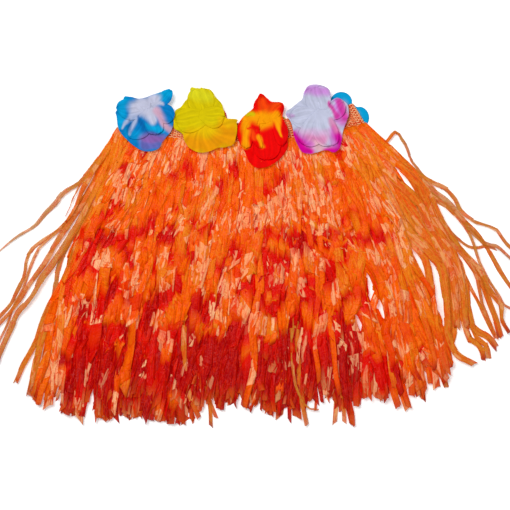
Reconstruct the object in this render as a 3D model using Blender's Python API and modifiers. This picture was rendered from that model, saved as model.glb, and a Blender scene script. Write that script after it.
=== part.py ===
"""Grass skirt laid flat on a surface: a waistband pressed flat, four rows of cut
ribbons that fan out below it, and fabric flowers sewn round the band.

Metres, +Z up from the surface, +Y towards the waist. The origin is under the
middle of the skirt's own footprint.
"""

import math
import random
from collections import namedtuple

import bmesh
import bpy
from mathutils import Vector

MM = 0.001

# Waistband, a knitted loop pressed flat into a front and a back panel
BAND_HEIGHT = 25 * MM
BAND_WALL = 2.3 * MM
SEAM_GAP = 0.3 * MM
BAND_FLOOR = 1.5 * MM
BAND_COLUMNS = 22
BAND_ROWS = 2
FOLD_RADIUS = 2.0 * MM
FOLD_COLUMNS = 3

# The two edges of the band: middle, half width, and how the ends rise
Edge = namedtuple("Edge", "middle_x middle_y half_width rise tilt")
BAND_TOP = Edge(-20.7 * MM, 176.7 * MM, 151.3 * MM, 21.3 * MM, 4.7 * MM)
BAND_FOOT = Edge(-17.6 * MM, 152.2 * MM, 164.0 * MM, 21.0 * MM, 3.4 * MM)

# Heading strips, where the roots of each row of ribbons are fused
STRIP_DEPTH = 5 * MM
STRIP_WALL = 1.0 * MM

# Each row of ribbons: its strip's underside, its place in the pile from 0 at the
# bottom to 1 at the top, how many ribbons, and how far its fan is drawn in
Row = namedtuple("Row", "name strip_floor place count drawn_in seed")
STRIP_PITCH = STRIP_WALL + SEAM_GAP
ROWS = (
    Row("fringe_back_lower", BAND_FLOOR, 0.125, 48, 1.000, 11),
    Row("fringe_back_upper", BAND_FLOOR + STRIP_PITCH, 0.375, 47, 0.968, 23),
    Row("fringe_front_lower", BAND_FLOOR + 2 * STRIP_PITCH, 0.625, 46, 0.984, 37),
    Row("fringe_front_upper", BAND_FLOOR + 3 * STRIP_PITCH, 0.875, 49, 0.952, 41),
)

# The fan: where ribbons end and which way they start, across the band from left
# (0) to right (1). The lean is in degrees from straight down, plus to the right
Fan = namedtuple("Fan", "across tip_x tip_y lean")
FAN = (
    Fan(0.000, -376 * MM, -30 * MM, -46),
    Fan(0.012, -358 * MM, -92 * MM, -43),
    Fan(0.026, -336 * MM, -142 * MM, -41),
    Fan(0.042, -304 * MM, -186 * MM, -38),
    Fan(0.120, -252 * MM, -204 * MM, -30),
    Fan(0.300, -148 * MM, -212 * MM, -13),
    Fan(0.500, -62 * MM, -207 * MM, 0),
    Fan(0.680, 52 * MM, -210 * MM, 9),
    Fan(0.800, 158 * MM, -208 * MM, 19),
    Fan(0.880, 232 * MM, -184 * MM, 30),
    Fan(0.940, 288 * MM, -148 * MM, 39),
    Fan(0.975, 330 * MM, -98 * MM, 47),
    Fan(1.000, 366 * MM, -22 * MM, 54),
)
BOW = 0.42

# Stations along a ribbon: share of its length, how high the pile is there and how
# high its underside, how wide the ribbon may be and how much of its lane it fills
Station = namedtuple("Station", "along floor top width fill")
STATIONS = (
    Station(0.12, 1.5 * MM, 8.6 * MM, 5.6 * MM, 0.72),
    Station(0.27, 0.4 * MM, 12.6 * MM, 7.6 * MM, 0.74),
    Station(0.38, 0.4 * MM, 13.4 * MM, 8.6 * MM, 0.74),
    Station(0.55, 0.4 * MM, 17.5 * MM, 9.2 * MM, 0.74),
    Station(0.78, 0.4 * MM, 16.0 * MM, 9.6 * MM, 0.72),
    Station(1.00, 0.4 * MM, 12.5 * MM, 9.0 * MM, 0.66),
)
RIBBON_WALL = 1.0 * MM
RIGHT_AND_TOP = ((True, False), (False, False), (False, True), (True, True))
LENGTH_SPREAD = 0.04
CUT_SLANT = 3.2 * MM
TILT_SHARE = 0.3

# Where the pile stands higher and lower than usual: waves that run in plan
Clump = namedtuple("Clump", "share run_x run_y start")
CLUMPS = (
    Clump(0.08, 31 * MM, 400 * MM, 1.3),
    Clump(0.06, 74 * MM, 90 * MM, 0.0),
)
LANE_MARGIN = 0.05
MOST_DRIFT = 3 * MM

# Flowers: fabric petals in layers, sewn by their middles to the band
PETAL_WALL = 1.0 * MM
FRONT_SEAT = BAND_FLOOR + 2 * BAND_WALL + 2 * SEAM_GAP
SPOKES = 36
RINGS = (0.34, 0.7, 1.0)
BACK_SPOKES = 30
BACK_RINGS = (0.5, 1.0)
CUP_HEIGHT = 6.0 * MM
CUP_RADIUS = 40 * MM
INNER_GAP = 1.5 * MM
INNER_RISE = 9.5 * MM
INNER_RADIUS = 26 * MM
RUFFLE = 1.1 * MM
CUP_CURVE = 1.6
INNER_THROAT = 0.62
LOBE_ROUNDNESS = 0.6
WELD = 0.0001

# Finishes: a linear colour and a roughness
Finish = namedtuple("Finish", "red green blue roughness")
RIBBON = Finish(0.83, 0.13, 0.01, 0.40)
KNIT = Finish(0.78, 0.16, 0.03, 0.70)
BLUE = Finish(0.00, 0.25, 0.62, 0.60)
YELLOW = Finish(0.72, 0.62, 0.01, 0.60)
RED = Finish(0.85, 0.03, 0.01, 0.60)
PURPLE = Finish(0.62, 0.30, 0.66, 0.60)

Petal = namedtuple("Petal", "angle reach half_angle")
Flower = namedtuple("Flower", "name x y throat outer inner waves finish")
FLOWERS = (
    Flower(
        "flower_blue", -145 * MM, 178 * MM, 31 * MM,
        (
            Petal(51, 53, 20), Petal(2, 37.5, 42), Petal(-80, 38.5, 46),
            Petal(-152, 37, 30), Petal(166, 41, 20), Petal(134, 44, 18),
        ),
        (Petal(48, 36, 24), Petal(-38, 31, 30), Petal(-98, 28, 30), Petal(-160, 30, 28)),
        5, BLUE,
    ),
    Flower(
        "flower_yellow", -68 * MM, 177 * MM, 29 * MM,
        (
            Petal(99, 47, 30), Petal(36, 31, 30), Petal(-20, 41, 30),
            Petal(-88, 39, 46), Petal(176, 38, 46),
        ),
        (Petal(95, 31, 36), Petal(178, 28, 36), Petal(-92, 28, 40), Petal(5, 28, 34)),
        4, YELLOW,
    ),
    Flower(
        "flower_red", 10.7 * MM, 163 * MM, 30 * MM,
        (
            Petal(94, 51, 17), Petal(60, 49, 18), Petal(-25, 38.5, 46),
            Petal(-96, 48, 34), Petal(180, 34, 52),
        ),
        (Petal(78, 32, 34), Petal(162, 28, 40), Petal(-58, 31, 44), Petal(10, 27, 26)),
        5, RED,
    ),
    Flower(
        "flower_purple", 86.7 * MM, 180 * MM, 34 * MM,
        (
            Petal(102, 46, 32), Petal(34, 42, 26), Petal(-62, 47, 28),
            Petal(-113, 48, 26), Petal(173, 46, 22),
        ),
        (Petal(100, 30, 40), Petal(28, 33, 30), Petal(-84, 31, 46), Petal(178, 28, 34)),
        4, PURPLE,
    ),
)

# Flowers of the back half, face down under the band and pressed flat
BackFlower = namedtuple("BackFlower", "name x y throat petals finish")
BACK_FLOWERS = (
    BackFlower(
        "flower_back_purple", -143 * MM, 168 * MM, 30 * MM,
        (Petal(75, 35, 34), Petal(-5, 36, 34), Petal(-80, 37, 34), Petal(-150, 36, 34), Petal(150, 35, 34)),
        PURPLE,
    ),
    BackFlower(
        "flower_back_red", -71 * MM, 168 * MM, 30 * MM,
        (Petal(40, 37, 36), Petal(-30, 35, 34), Petal(-105, 37, 34), Petal(-178, 34, 34), Petal(112, 36, 34)),
        RED,
    ),
    BackFlower(
        "flower_back_yellow", 18 * MM, 153 * MM, 30 * MM,
        (Petal(118, 43, 34), Petal(50, 38, 34), Petal(-20, 37, 34), Petal(-95, 36, 34), Petal(-168, 37, 34)),
        YELLOW,
    ),
    BackFlower(
        "flower_back_blue", 121 * MM, 181 * MM, 31 * MM,
        (Petal(99, 37, 38), Petal(20, 38.5, 36), Petal(-55, 37, 34), Petal(-130, 36, 34), Petal(168, 34, 34)),
        BLUE,
    ),
)


def clear_scene():
    for obj in list(bpy.data.objects):
        bpy.data.objects.remove(obj, do_unlink=True)


def coloured(name, finish):
    """A Principled material in one finish."""
    material = bpy.data.materials.new(name)
    material.use_nodes = True
    shader = material.node_tree.nodes["Principled BSDF"]
    shader.inputs["Base Color"].default_value = (finish.red, finish.green, finish.blue, 1)
    shader.inputs["Roughness"].default_value = finish.roughness
    return material


def mixed(a, b, share):
    return a + (b - a) * share


def looked_up(table, column, across):
    """A column of a table at any place across it, straight between its rows."""
    for low, high in zip(table, table[1:]):
        if across <= high.across:
            share = (across - low.across) / (high.across - low.across)
            return mixed(getattr(low, column), getattr(high, column), share)
    return getattr(table[-1], column)


def edge_point(edge, across):
    """A point of a band edge, in plan, from its left end (0) to its right end (1)."""
    along = 2 * across - 1
    return Vector((
        edge.middle_x + edge.half_width * along,
        edge.middle_y + edge.rise * along**2 + edge.tilt * along,
        0,
    ))


def band_point(across, depth):
    """A point of the band's plan, at a depth in metres below its top edge."""
    return edge_point(BAND_TOP, across).lerp(edge_point(BAND_FOOT, across), depth / BAND_HEIGHT)


ROOT_DEPTH = BAND_HEIGHT + SEAM_GAP + STRIP_DEPTH


def fan_point(across, along):
    """Where the ribbon from that place across the band is, at that share of its length."""
    across = min(max(across, 0.0), 1.0)
    root = band_point(across, ROOT_DEPTH)
    tip = Vector((looked_up(FAN, "tip_x", across), looked_up(FAN, "tip_y", across), 0))
    lean = math.radians(looked_up(FAN, "lean", across))
    bow = root + Vector((math.sin(lean), -math.cos(lean), 0)) * (tip - root).length * BOW
    return root.lerp(bow, along).lerp(bow.lerp(tip, along), along)


def clumped(place):
    """How many times its usual height the pile has at a place."""
    return 1 + sum(
        clump.share * math.sin(place.x / clump.run_x + place.y / clump.run_y + clump.start)
        for clump in CLUMPS
    )


def linked(name, mesh_data, finish, parent):
    """A new mesh object for the part, under its parent, with a material of its own."""
    mesh_data.materials.append(coloured(name, finish))
    obj = bpy.data.objects.new(name, mesh_data)
    obj.parent = parent
    bpy.context.scene.collection.children["grass_skirt"].objects.link(obj)
    return obj


def unit_slab(columns, rows):
    """A flat box one unit across, deep and high, cut into columns and rows: x is across, y depth.

    Its faces point inwards, as depth runs towards -Y once it is mapped.
    """
    slab = bmesh.new()
    bmesh.ops.create_grid(slab, x_segments=columns, y_segments=rows, size=0.5)
    top = bmesh.ops.extrude_face_region(slab, geom=slab.faces[:])
    raised = [item for item in top["geom"] if isinstance(item, bmesh.types.BMVert)]
    bmesh.ops.translate(slab, verts=raised, vec=(0, 0, 1))
    bmesh.ops.translate(slab, verts=slab.verts[:], vec=(0.5, 0.5, 0))
    bmesh.ops.recalc_face_normals(slab, faces=slab.faces[:])
    bmesh.ops.reverse_faces(slab, faces=slab.faces[:])
    return slab


def fold_round(step):
    """How far in from the fold, and how far short of the full wall, its round is at a step."""
    turn = math.pi / 2 * min(step / FOLD_COLUMNS, 1)
    return FOLD_RADIUS * (1 - math.cos(turn)), FOLD_RADIUS * (1 - math.sin(turn))


def band_panel(name, floor, is_front, parent):
    """One panel of the band, its outer side rounded over at both ends into the side folds."""
    slab = unit_slab(BAND_COLUMNS, BAND_ROWS)
    for vert in slab.verts:
        column = round(vert.co.x * BAND_COLUMNS)
        from_end = min(column, BAND_COLUMNS - column)
        inset, short = fold_round(from_end)
        across = vert.co.x
        if from_end <= FOLD_COLUMNS:
            inset /= 2 * BAND_FOOT.half_width
            across = inset if column == from_end else 1 - inset
        height = vert.co.z * BAND_WALL
        if is_front and vert.co.z > 0.5:
            height -= short
        if not is_front and vert.co.z < 0.5:
            height += short
        place = band_point(across, vert.co.y * BAND_HEIGHT)
        vert.co = place + Vector((0, 0, floor + height))
    mesh_data = bpy.data.meshes.new(name)
    slab.to_mesh(mesh_data)
    slab.free()
    return linked(name, mesh_data, KNIT, parent)


def pile_level(station, row, place):
    """The middle height and the free play of a row in the pile, at a station and place."""
    top = station.floor + (station.top - station.floor) * clumped(place)
    layer = (top - station.floor) / len(ROWS)
    middle = mixed(station.floor, top, row.place)
    return middle, max(0.0, (layer - RIBBON_WALL - SEAM_GAP) / 2)


def ribbon_sections(row, number, rng):
    """One ribbon's corners at each station: right and left underside, then left and right top."""
    pitch = row.drawn_in / row.count
    centre = 0.5 + (number + 0.5 - row.count / 2) * pitch
    reach = 1 + rng.uniform(-LENGTH_SPREAD, LENGTH_SPREAD)
    slant = rng.uniform(-CUT_SLANT, CUT_SLANT)
    for station in STATIONS:
        along = station.along * reach
        ahead = fan_point(centre, along + 0.01) - fan_point(centre, along - 0.01)
        ahead.normalize()
        side = Vector((-ahead.y, ahead.x, 0))
        left = fan_point(centre - pitch / 2, along)
        right = fan_point(centre + pitch / 2, along)
        lane = (right - left).dot(side)
        width = min(station.width * rng.uniform(0.86, 1.08), station.fill * lane)
        spare = min(max(0.0, 0.5 * (1 - width / lane) - LANE_MARGIN), MOST_DRIFT / lane)
        middle = left.lerp(right, 0.5 + rng.uniform(-spare, spare))
        level, play = pile_level(station, row, middle)
        lift = rng.uniform(-play, play) * (1 - TILT_SHARE)
        tilt = rng.uniform(-play, play) * TILT_SHARE
        skew = ahead * slant if station.along == 1 else Vector()
        half = RIBBON_WALL / 2
        side *= width / 2
        yield (
            middle + side + skew + Vector((0, 0, level + lift + tilt - half)),
            middle - side - skew + Vector((0, 0, level + lift - tilt - half)),
            middle - side - skew + Vector((0, 0, level + lift - tilt + half)),
            middle + side + skew + Vector((0, 0, level + lift + tilt + half)),
        )


def fringe(row, parent):
    """A heading strip with a row of ribbons drawn out of its lower edge, one from each cell."""
    rng = random.Random(row.seed)
    strip = unit_slab(row.count, 1)
    cells = [face for face in strip.faces if all(vert.co.y > 0.99 for vert in face.verts)]
    cells.sort(key=lambda face: face.calc_center_median().x)
    corners = []
    for cell in cells:
        middle = cell.calc_center_median()
        quarter = {
            (vert.co.x > middle.x, vert.co.z > middle.z): index
            for index, vert in enumerate(cell.verts)
        }
        corners.append([quarter[place] for place in RIGHT_AND_TOP])
    for vert in strip.verts:
        depth = BAND_HEIGHT + SEAM_GAP + vert.co.y * STRIP_DEPTH
        across = 0.5 + (vert.co.x - 0.5) * row.drawn_in
        vert.co = band_point(across, depth) + Vector((0, 0, row.strip_floor + vert.co.z * STRIP_WALL))
    for number, (cell, order) in enumerate(zip(cells, corners)):
        end = cell
        for section in ribbon_sections(row, number, rng):
            end = bmesh.ops.extrude_discrete_faces(strip, faces=[end])["faces"][0]
            for index, corner in zip(order, section):
                end.verts[index].co = corner
    mesh_data = bpy.data.meshes.new(row.name)
    strip.to_mesh(mesh_data)
    strip.free()
    return linked(row.name, mesh_data, RIBBON, parent)


def petal_reach(petals, throat, turn):
    """How far the fabric reaches from the flower's middle in a direction, in metres."""
    reach = throat
    for petal in petals:
        off = (math.degrees(turn) - petal.angle + 180) % 360 - 180
        if abs(off) < petal.half_angle:
            lobe = math.cos(math.pi / 2 * off / petal.half_angle) ** LOBE_ROUNDNESS
            reach = max(reach, throat + (petal.reach * MM - throat) * lobe)
    return reach


def petal_sheet(name, petals, throat, spokes, rings, height_at):
    """A disc of fabric whose edge follows the petals, lifted by height_at(distance, turn)."""
    sheet = bmesh.new()
    spine = [sheet.verts.new((share, 0, 0)) for share in (0, *rings)]
    edges = [sheet.edges.new(pair) for pair in zip(spine, spine[1:])]
    bmesh.ops.spin(
        sheet, geom=spine + edges, cent=(0, 0, 0), axis=(0, 0, 1),
        angle=math.tau, steps=spokes, use_merge=True,
    )
    bmesh.ops.remove_doubles(sheet, verts=sheet.verts[:], dist=WELD)
    for vert in sheet.verts:
        turn = math.atan2(vert.co.y, vert.co.x)
        distance = vert.co.xy.length * petal_reach(petals, throat, turn)
        vert.co = (
            distance * math.cos(turn),
            distance * math.sin(turn),
            height_at(distance, turn),
        )
    bmesh.ops.recalc_face_normals(sheet, faces=sheet.faces[:])
    if sum(face.normal.z for face in sheet.faces) < 0:
        bmesh.ops.reverse_faces(sheet, faces=sheet.faces[:])
    mesh_data = bpy.data.meshes.new(name)
    sheet.to_mesh(mesh_data)
    sheet.free()
    return mesh_data


def thicken(obj, wall):
    """Gives an open sheet its wall, above the sheet."""
    wall_maker = obj.modifiers.new("wall", "SOLIDIFY")
    wall_maker.thickness = wall
    wall_maker.offset = 1


def front_flower(flower, parent):
    """The two petal layers of a front flower, cupped up off the ribbons."""
    def outer_height(distance, turn):
        share = distance / CUP_RADIUS
        return CUP_HEIGHT * share**CUP_CURVE + RUFFLE * share**2 * math.sin(flower.waves * turn + 1)

    def inner_height(distance, turn):
        share = distance / INNER_RADIUS
        return outer_height(distance, turn) + INNER_GAP + INNER_RISE * share**CUP_CURVE

    layers = (
        ("outer", flower.outer, flower.throat, outer_height),
        ("inner", flower.inner, flower.throat * INNER_THROAT, inner_height),
    )
    for layer, table, throat, height_at in layers:
        name = f"{flower.name}_{layer}"
        sheet = petal_sheet(name, table, throat, SPOKES, RINGS, height_at)
        obj = linked(name, sheet, flower.finish, parent)
        obj.location = (flower.x, flower.y, FRONT_SEAT)
        thicken(obj, PETAL_WALL)


def centre_on_origin(skirt, pieces):
    """Moves the skirt so that the origin is under the middle of its footprint."""
    corners = [piece.matrix_world @ vert.co for piece in pieces for vert in piece.data.vertices]
    for axis in (0, 1):
        places = [corner[axis] for corner in corners]
        skirt.location[axis] = -(min(places) + max(places)) / 2


def back_flower(flower, parent):
    """One pressed flower of the back half, flat on the surface."""
    sheet = petal_sheet(
        flower.name, flower.petals, flower.throat, BACK_SPOKES, BACK_RINGS,
        lambda distance, turn: 0.0,
    )
    obj = linked(flower.name, sheet, flower.finish, parent)
    obj.location = (flower.x, flower.y, 0)
    thicken(obj, BAND_FLOOR - SEAM_GAP)


def main():
    clear_scene()
    collection = bpy.data.collections.new("grass_skirt")
    bpy.context.scene.collection.children.link(collection)
    skirt = bpy.data.objects.new("skirt", None)
    collection.objects.link(skirt)

    band_panel("waistband_back", BAND_FLOOR, False, skirt)
    band_panel("waistband_front", BAND_FLOOR + BAND_WALL + SEAM_GAP, True, skirt)
    for row in ROWS:
        fringe(row, skirt)
    for flower in FLOWERS:
        front_flower(flower, skirt)
    for flower in BACK_FLOWERS:
        back_flower(flower, skirt)
    bpy.context.view_layer.update()
    centre_on_origin(skirt, [piece for piece in collection.objects if piece.type == "MESH"])


main()
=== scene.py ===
"""Looks of the grass skirt: crinkled plastic ribbons, a knitted waistband and dyed fabric flowers.

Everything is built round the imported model, in metres. Places read off the photograph
are named px and py, in its 510 x 510 pixels, and photo_place turns them into metres.
"""

import math
from collections import namedtuple

import bpy
import numpy as np
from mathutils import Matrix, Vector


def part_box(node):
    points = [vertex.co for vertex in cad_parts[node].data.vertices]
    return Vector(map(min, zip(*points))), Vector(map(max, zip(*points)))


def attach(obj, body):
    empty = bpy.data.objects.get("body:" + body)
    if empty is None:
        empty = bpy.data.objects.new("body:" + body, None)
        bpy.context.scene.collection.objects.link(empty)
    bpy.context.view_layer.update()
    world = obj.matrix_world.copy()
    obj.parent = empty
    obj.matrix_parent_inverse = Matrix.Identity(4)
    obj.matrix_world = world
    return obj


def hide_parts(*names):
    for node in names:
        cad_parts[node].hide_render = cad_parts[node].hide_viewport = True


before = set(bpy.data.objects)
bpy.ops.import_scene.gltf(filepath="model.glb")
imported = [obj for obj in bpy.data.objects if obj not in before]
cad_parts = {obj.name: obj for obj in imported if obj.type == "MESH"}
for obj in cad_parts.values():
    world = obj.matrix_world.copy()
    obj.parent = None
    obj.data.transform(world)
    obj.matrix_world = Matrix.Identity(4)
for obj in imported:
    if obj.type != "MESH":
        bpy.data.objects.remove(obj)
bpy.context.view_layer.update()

MM = 0.001
PHOTO_SIDE = 510
PHOTO_MIDDLE = PHOTO_SIDE / 2
PHOTO_PIXEL = 400 / 300 * MM

# The waistband's edges in plan, as the solids have them before they are centred
Edge = namedtuple("Edge", "middle_x middle_y half_width rise tilt")
BAND_TOP = Edge(-20.7 * MM, 176.7 * MM, 151.3 * MM, 21.3 * MM, 4.7 * MM)
BAND_FOOT = Edge(-17.6 * MM, 152.2 * MM, 164.0 * MM, 21.0 * MM, 3.4 * MM)
BAND_HEIGHT = 25 * MM
SEAM_GAP = 0.3 * MM

band_low, band_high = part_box("waistband_front")
back_low, back_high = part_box("waistband_back")
SHIFT = np.array([
    (band_low.x + band_high.x) / 2 - BAND_FOOT.middle_x,
    band_high.y - (BAND_TOP.middle_y + BAND_TOP.rise + BAND_TOP.tilt),
])


def photo_place(px, py):
    """The plan place, in metres, of a pixel of the photograph."""
    return np.array([
        (px - PHOTO_MIDDLE) * PHOTO_PIXEL + SHIFT[0],
        (PHOTO_MIDDLE - py) * PHOTO_PIXEL + SHIFT[1],
    ])


def eased(value, low, high):
    """0 below low, 1 above high and smooth between."""
    share = np.clip((value - low) / (high - low), 0, 1)
    return share * share * (3 - 2 * share)


def mixed(low, high, share):
    """From low at a share of 0 to high at 1."""
    return low + (high - low) * share


def through_marks(marks, values, slopes, at):
    """Values at places between marks, on a smooth curve that has the given slope at each mark."""
    slot = np.clip(np.searchsorted(marks, at) - 1, 0, len(marks) - 2)
    gap = marks[slot + 1] - marks[slot]
    t = (at - marks[slot]) / gap
    if values.ndim > 1:
        gap = gap[:, None]
        t = t[:, None]
    return (
        (2 * t**3 - 3 * t**2 + 1) * values[slot] + (t**3 - 2 * t**2 + t) * gap * slopes[slot]
        + (3 * t**2 - 2 * t**3) * values[slot + 1] + (t**3 - t**2) * gap * slopes[slot + 1]
    )


def ahead_and_beside(run):
    """Unit vectors along lines in plan and to their left, from how the lines run."""
    ahead = run / np.linalg.norm(run, axis=-1, keepdims=True)
    return ahead, np.stack([-ahead[..., 1], ahead[..., 0]], axis=-1)


def srgb(red, green, blue):
    """A linear colour from the 0 to 255 values that a screen shows."""
    return np.array([
        level / 12.92 if level <= 0.04045 else ((level + 0.055) / 1.055) ** 2.4
        for level in (red / 255, green / 255, blue / 255)
    ])


# Camera, floor and light

CAMERA_LENS_MM = 100
SENSOR_MM = 36
CAMERA_AIM_HEIGHT = 8 * MM
FLOOR_SIDE = 12
FLOOR_WHITE = 0.93
FLOOR_GLOW = 0.22
SKY_STRENGTH = 0.16
Lamp = namedtuple("Lamp", "name place side watts")
LAMPS = (
    Lamp("key", (-0.45, 0.6, 1.7), 0.8, 29),
    Lamp("fill", (0.9, -0.5, 1.6), 1.0, 9),
)


def set_camera():
    """Straight above, framed as the photograph is."""
    camera = bpy.data.cameras.new("camera")
    camera.lens = CAMERA_LENS_MM
    camera.sensor_width = SENSOR_MM
    holder = bpy.data.objects.new("camera", camera)
    distance = PHOTO_SIDE * PHOTO_PIXEL * CAMERA_LENS_MM / SENSOR_MM
    holder.location = (SHIFT[0], SHIFT[1], CAMERA_AIM_HEIGHT + distance)
    bpy.context.scene.collection.objects.link(holder)
    bpy.context.scene.camera = holder


def set_stage():
    """A plain pale floor, a pale sky, and soft square lights that look at the middle of the skirt."""
    bpy.ops.object.select_all(action="DESELECT")
    bpy.ops.mesh.primitive_plane_add(size=FLOOR_SIDE, location=(0, 0, 0))
    floor = bpy.context.active_object
    floor.name = "floor"
    paint, _, shader = new_material("pale_floor", 0.9, 0.5)
    shader.inputs["Base Color"].default_value = (FLOOR_WHITE, FLOOR_WHITE, FLOOR_WHITE, 1)
    # A little light of its own keeps the floor white, as the cut-out's background is
    shader.inputs["Emission Color"].default_value = (1, 1, 1, 1)
    shader.inputs["Emission Strength"].default_value = FLOOR_GLOW
    floor.data.materials.append(paint)
    world = bpy.data.worlds.new("sky")
    world.use_nodes = True
    sky = world.node_tree.nodes["Background"]
    sky.inputs["Color"].default_value = (1, 1, 1, 1)
    sky.inputs["Strength"].default_value = SKY_STRENGTH
    bpy.context.scene.world = world
    bpy.context.scene.view_settings.view_transform = "Standard"
    for lamp in LAMPS:
        light = bpy.data.lights.new(lamp.name, "AREA")
        light.shape = "SQUARE"
        light.size = lamp.side
        light.energy = lamp.watts
        holder = bpy.data.objects.new(lamp.name, light)
        holder.location = lamp.place
        holder.rotation_euler = (-holder.location).to_track_quat("-Z", "Y").to_euler()
        bpy.context.scene.collection.objects.link(holder)


# Shader helpers. A value given to a node is a number, a colour or another node's output


def new_material(name, roughness, specular):
    """A material with a Principled shader. Returns it, its tree and the shader."""
    material = bpy.data.materials.new(name)
    material.use_nodes = True
    tree = material.node_tree
    shader = tree.nodes["Principled BSDF"]
    shader.inputs["Roughness"].default_value = roughness
    shader.inputs["Specular IOR Level"].default_value = specular
    return material, tree, shader


def add_node(tree, kind, inputs=(), **settings):
    """A node with its settings, and its inputs set or linked."""
    node = tree.nodes.new(kind)
    for key, value in settings.items():
        setattr(node, key, value)
    for key, value in dict(inputs).items():
        if isinstance(value, bpy.types.NodeSocket):
            tree.links.new(value, node.inputs[key])
        else:
            node.inputs[key].default_value = value
    return node


def reckoned(tree, operation, *values):
    """The result of a Math node."""
    return add_node(tree, "ShaderNodeMath", dict(enumerate(values)), operation=operation).outputs[0]


def scaled_by(tree, vector, scale):
    """A vector or a colour times a number."""
    node = add_node(tree, "ShaderNodeVectorMath", {0: vector, "Scale": scale}, operation="SCALE")
    return node.outputs[0]


def ramp(tree, value, low, high):
    """0 below low and 1 above high, smooth between."""
    node = add_node(tree, "ShaderNodeMapRange", {
        "Value": value, "From Min": low, "From Max": high,
    }, interpolation_type="SMOOTHSTEP")
    return node.outputs["Result"]


def from_to(tree, value, low, high):
    """From low where a value is 0 to high where it is 1."""
    node = add_node(tree, "ShaderNodeMapRange", {"Value": value, "To Min": low, "To Max": high})
    return node.outputs["Result"]


def painted(tree, share, under, over):
    """The colour under, with another over it by a share."""
    under, over = (
        colour if isinstance(colour, bpy.types.NodeSocket) else (*colour, 1) for colour in (under, over)
    )
    # The Mix node has one set of sockets for each data type, so the colour ones go by number
    return add_node(tree, "ShaderNodeMix", {0: share, 6: under, 7: over}, data_type="RGBA").outputs[2]


def carried(tree, name):
    """What a piece's mesh carries under a name."""
    return add_node(tree, "ShaderNodeAttribute", attribute_name=name, attribute_type="GEOMETRY").outputs


def mottled(tree, scale, detail):
    """A piece's own coordinates and a fine noise over them."""
    place = add_node(tree, "ShaderNodeTexCoord").outputs["Object"]
    noise = add_node(tree, "ShaderNodeTexNoise", {"Vector": place, "Scale": scale, "Detail": detail})
    return place, noise.outputs["Fac"]


def set_relief(tree, shader, height, strength, distance):
    """Gives a shader the relief of a height."""
    bump = add_node(tree, "ShaderNodeBump", {"Height": height, "Strength": strength, "Distance": distance})
    tree.links.new(bump.outputs["Normal"], shader.inputs["Normal"])


def new_group(name, size_name, output_names):
    """A node group that takes a Place and one size. Returns it, what it is given and what it gives."""
    group = bpy.data.node_groups.new(name, "ShaderNodeTree")
    group.interface.new_socket("Place", in_out="INPUT", socket_type="NodeSocketVector")
    group.interface.new_socket(size_name, in_out="INPUT", socket_type="NodeSocketFloat")
    for output_name in output_names:
        group.interface.new_socket(output_name, in_out="OUTPUT", socket_type="NodeSocketFloat")
    start = group.nodes.new("NodeGroupInput")
    end = group.nodes.new("NodeGroupOutput")
    return group, start.outputs, end.inputs


def crinkle_group():
    """Crinkled film: where highlights are painted, where it lies double, where crease shade is painted, and
    its height.

    Place is in metres across and along the film. Cell is the width of a crinkle.
    """
    group, given, gives = new_group("film_crinkle", "Cell", ("Highlight_patches", "Doubled", "Crease_shade", "Height"))
    cells = scaled_by(group, given["Place"], reckoned(group, "DIVIDE", 1.0, given["Cell"]))

    def wrinkles(stretch, scale, detail, distortion):
        """Noise over the film, stretched across and along it."""
        place = add_node(group, "ShaderNodeVectorMath", {0: cells, 1: stretch}, operation="MULTIPLY")
        noise = add_node(group, "ShaderNodeTexNoise", {
            "Vector": place.outputs[0], "Scale": scale, "Detail": detail, "Distortion": distortion,
        }, noise_dimensions="2D")
        return noise.outputs["Fac"]

    def ridge(value, level, width):
        """1 along the line where a noise crosses a level, and 0 away from it."""
        away = reckoned(group, "ABSOLUTE", reckoned(group, "SUBTRACT", value, level))
        return reckoned(group, "SUBTRACT", 1.0, ramp(group, away, 0.0, width))

    blotches = wrinkles((1.0, 0.36, 1.0), 0.55, 3.5, 0.5)
    pleats = wrinkles((0.42, 1.7, 1.0), 0.8, 2.0, 0.4)
    streaks = wrinkles((2.2, 0.22, 1.0), 1.0, 2.0, 0.2)
    # Thin lines along which crease shade is painted
    creases = reckoned(group, "MAXIMUM", ridge(blotches, 0.47, 0.022), ridge(pleats, 0.5, 0.024))
    folds = reckoned(group, "MULTIPLY_ADD", blotches, 1.1, pleats)
    for name, result in (
        ("Highlight_patches", ramp(group, blotches, 0.42, 0.52)),
        ("Doubled", ramp(group, streaks, 0.50, 0.60)),
        ("Crease_shade", creases),
        ("Height", reckoned(group, "MULTIPLY_ADD", streaks, 0.8, folds)),
    ):
        group.links.new(result, gives[name])
    return group


def weave_group():
    """Woven cloth, seen close to: the height of its threads."""
    group, given, gives = new_group("cloth_weave", "Thread", ("Height",))
    turns = reckoned(group, "DIVIDE", math.pi, given["Thread"])
    ways = add_node(group, "ShaderNodeSeparateXYZ", {0: scaled_by(group, given["Place"], turns)})
    warp = reckoned(group, "SINE", ways.outputs["X"])
    weft = reckoned(group, "SINE", ways.outputs["Y"])
    group.links.new(reckoned(group, "MULTIPLY", warp, weft), gives["Height"])
    return group


CRINKLE = crinkle_group()
WEAVE = weave_group()


def crinkled(tree, cell):
    """Crinkles on a piece's own film, as the group's outputs."""
    film = add_node(tree, "ShaderNodeUVMap", uv_map="film").outputs["UV"]
    return add_node(tree, "ShaderNodeGroup", {"Place": film, "Cell": cell}, node_tree=CRINKLE).outputs


# Materials

FILM_CELL = 4.0 * MM
FILM_SHADE = 0.75
FILM_GLOW = 0.335
FILM_ALONE = 0.62
YARN_CELL = 1.6 * MM
PETAL_THREAD = 0.35 * MM

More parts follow.
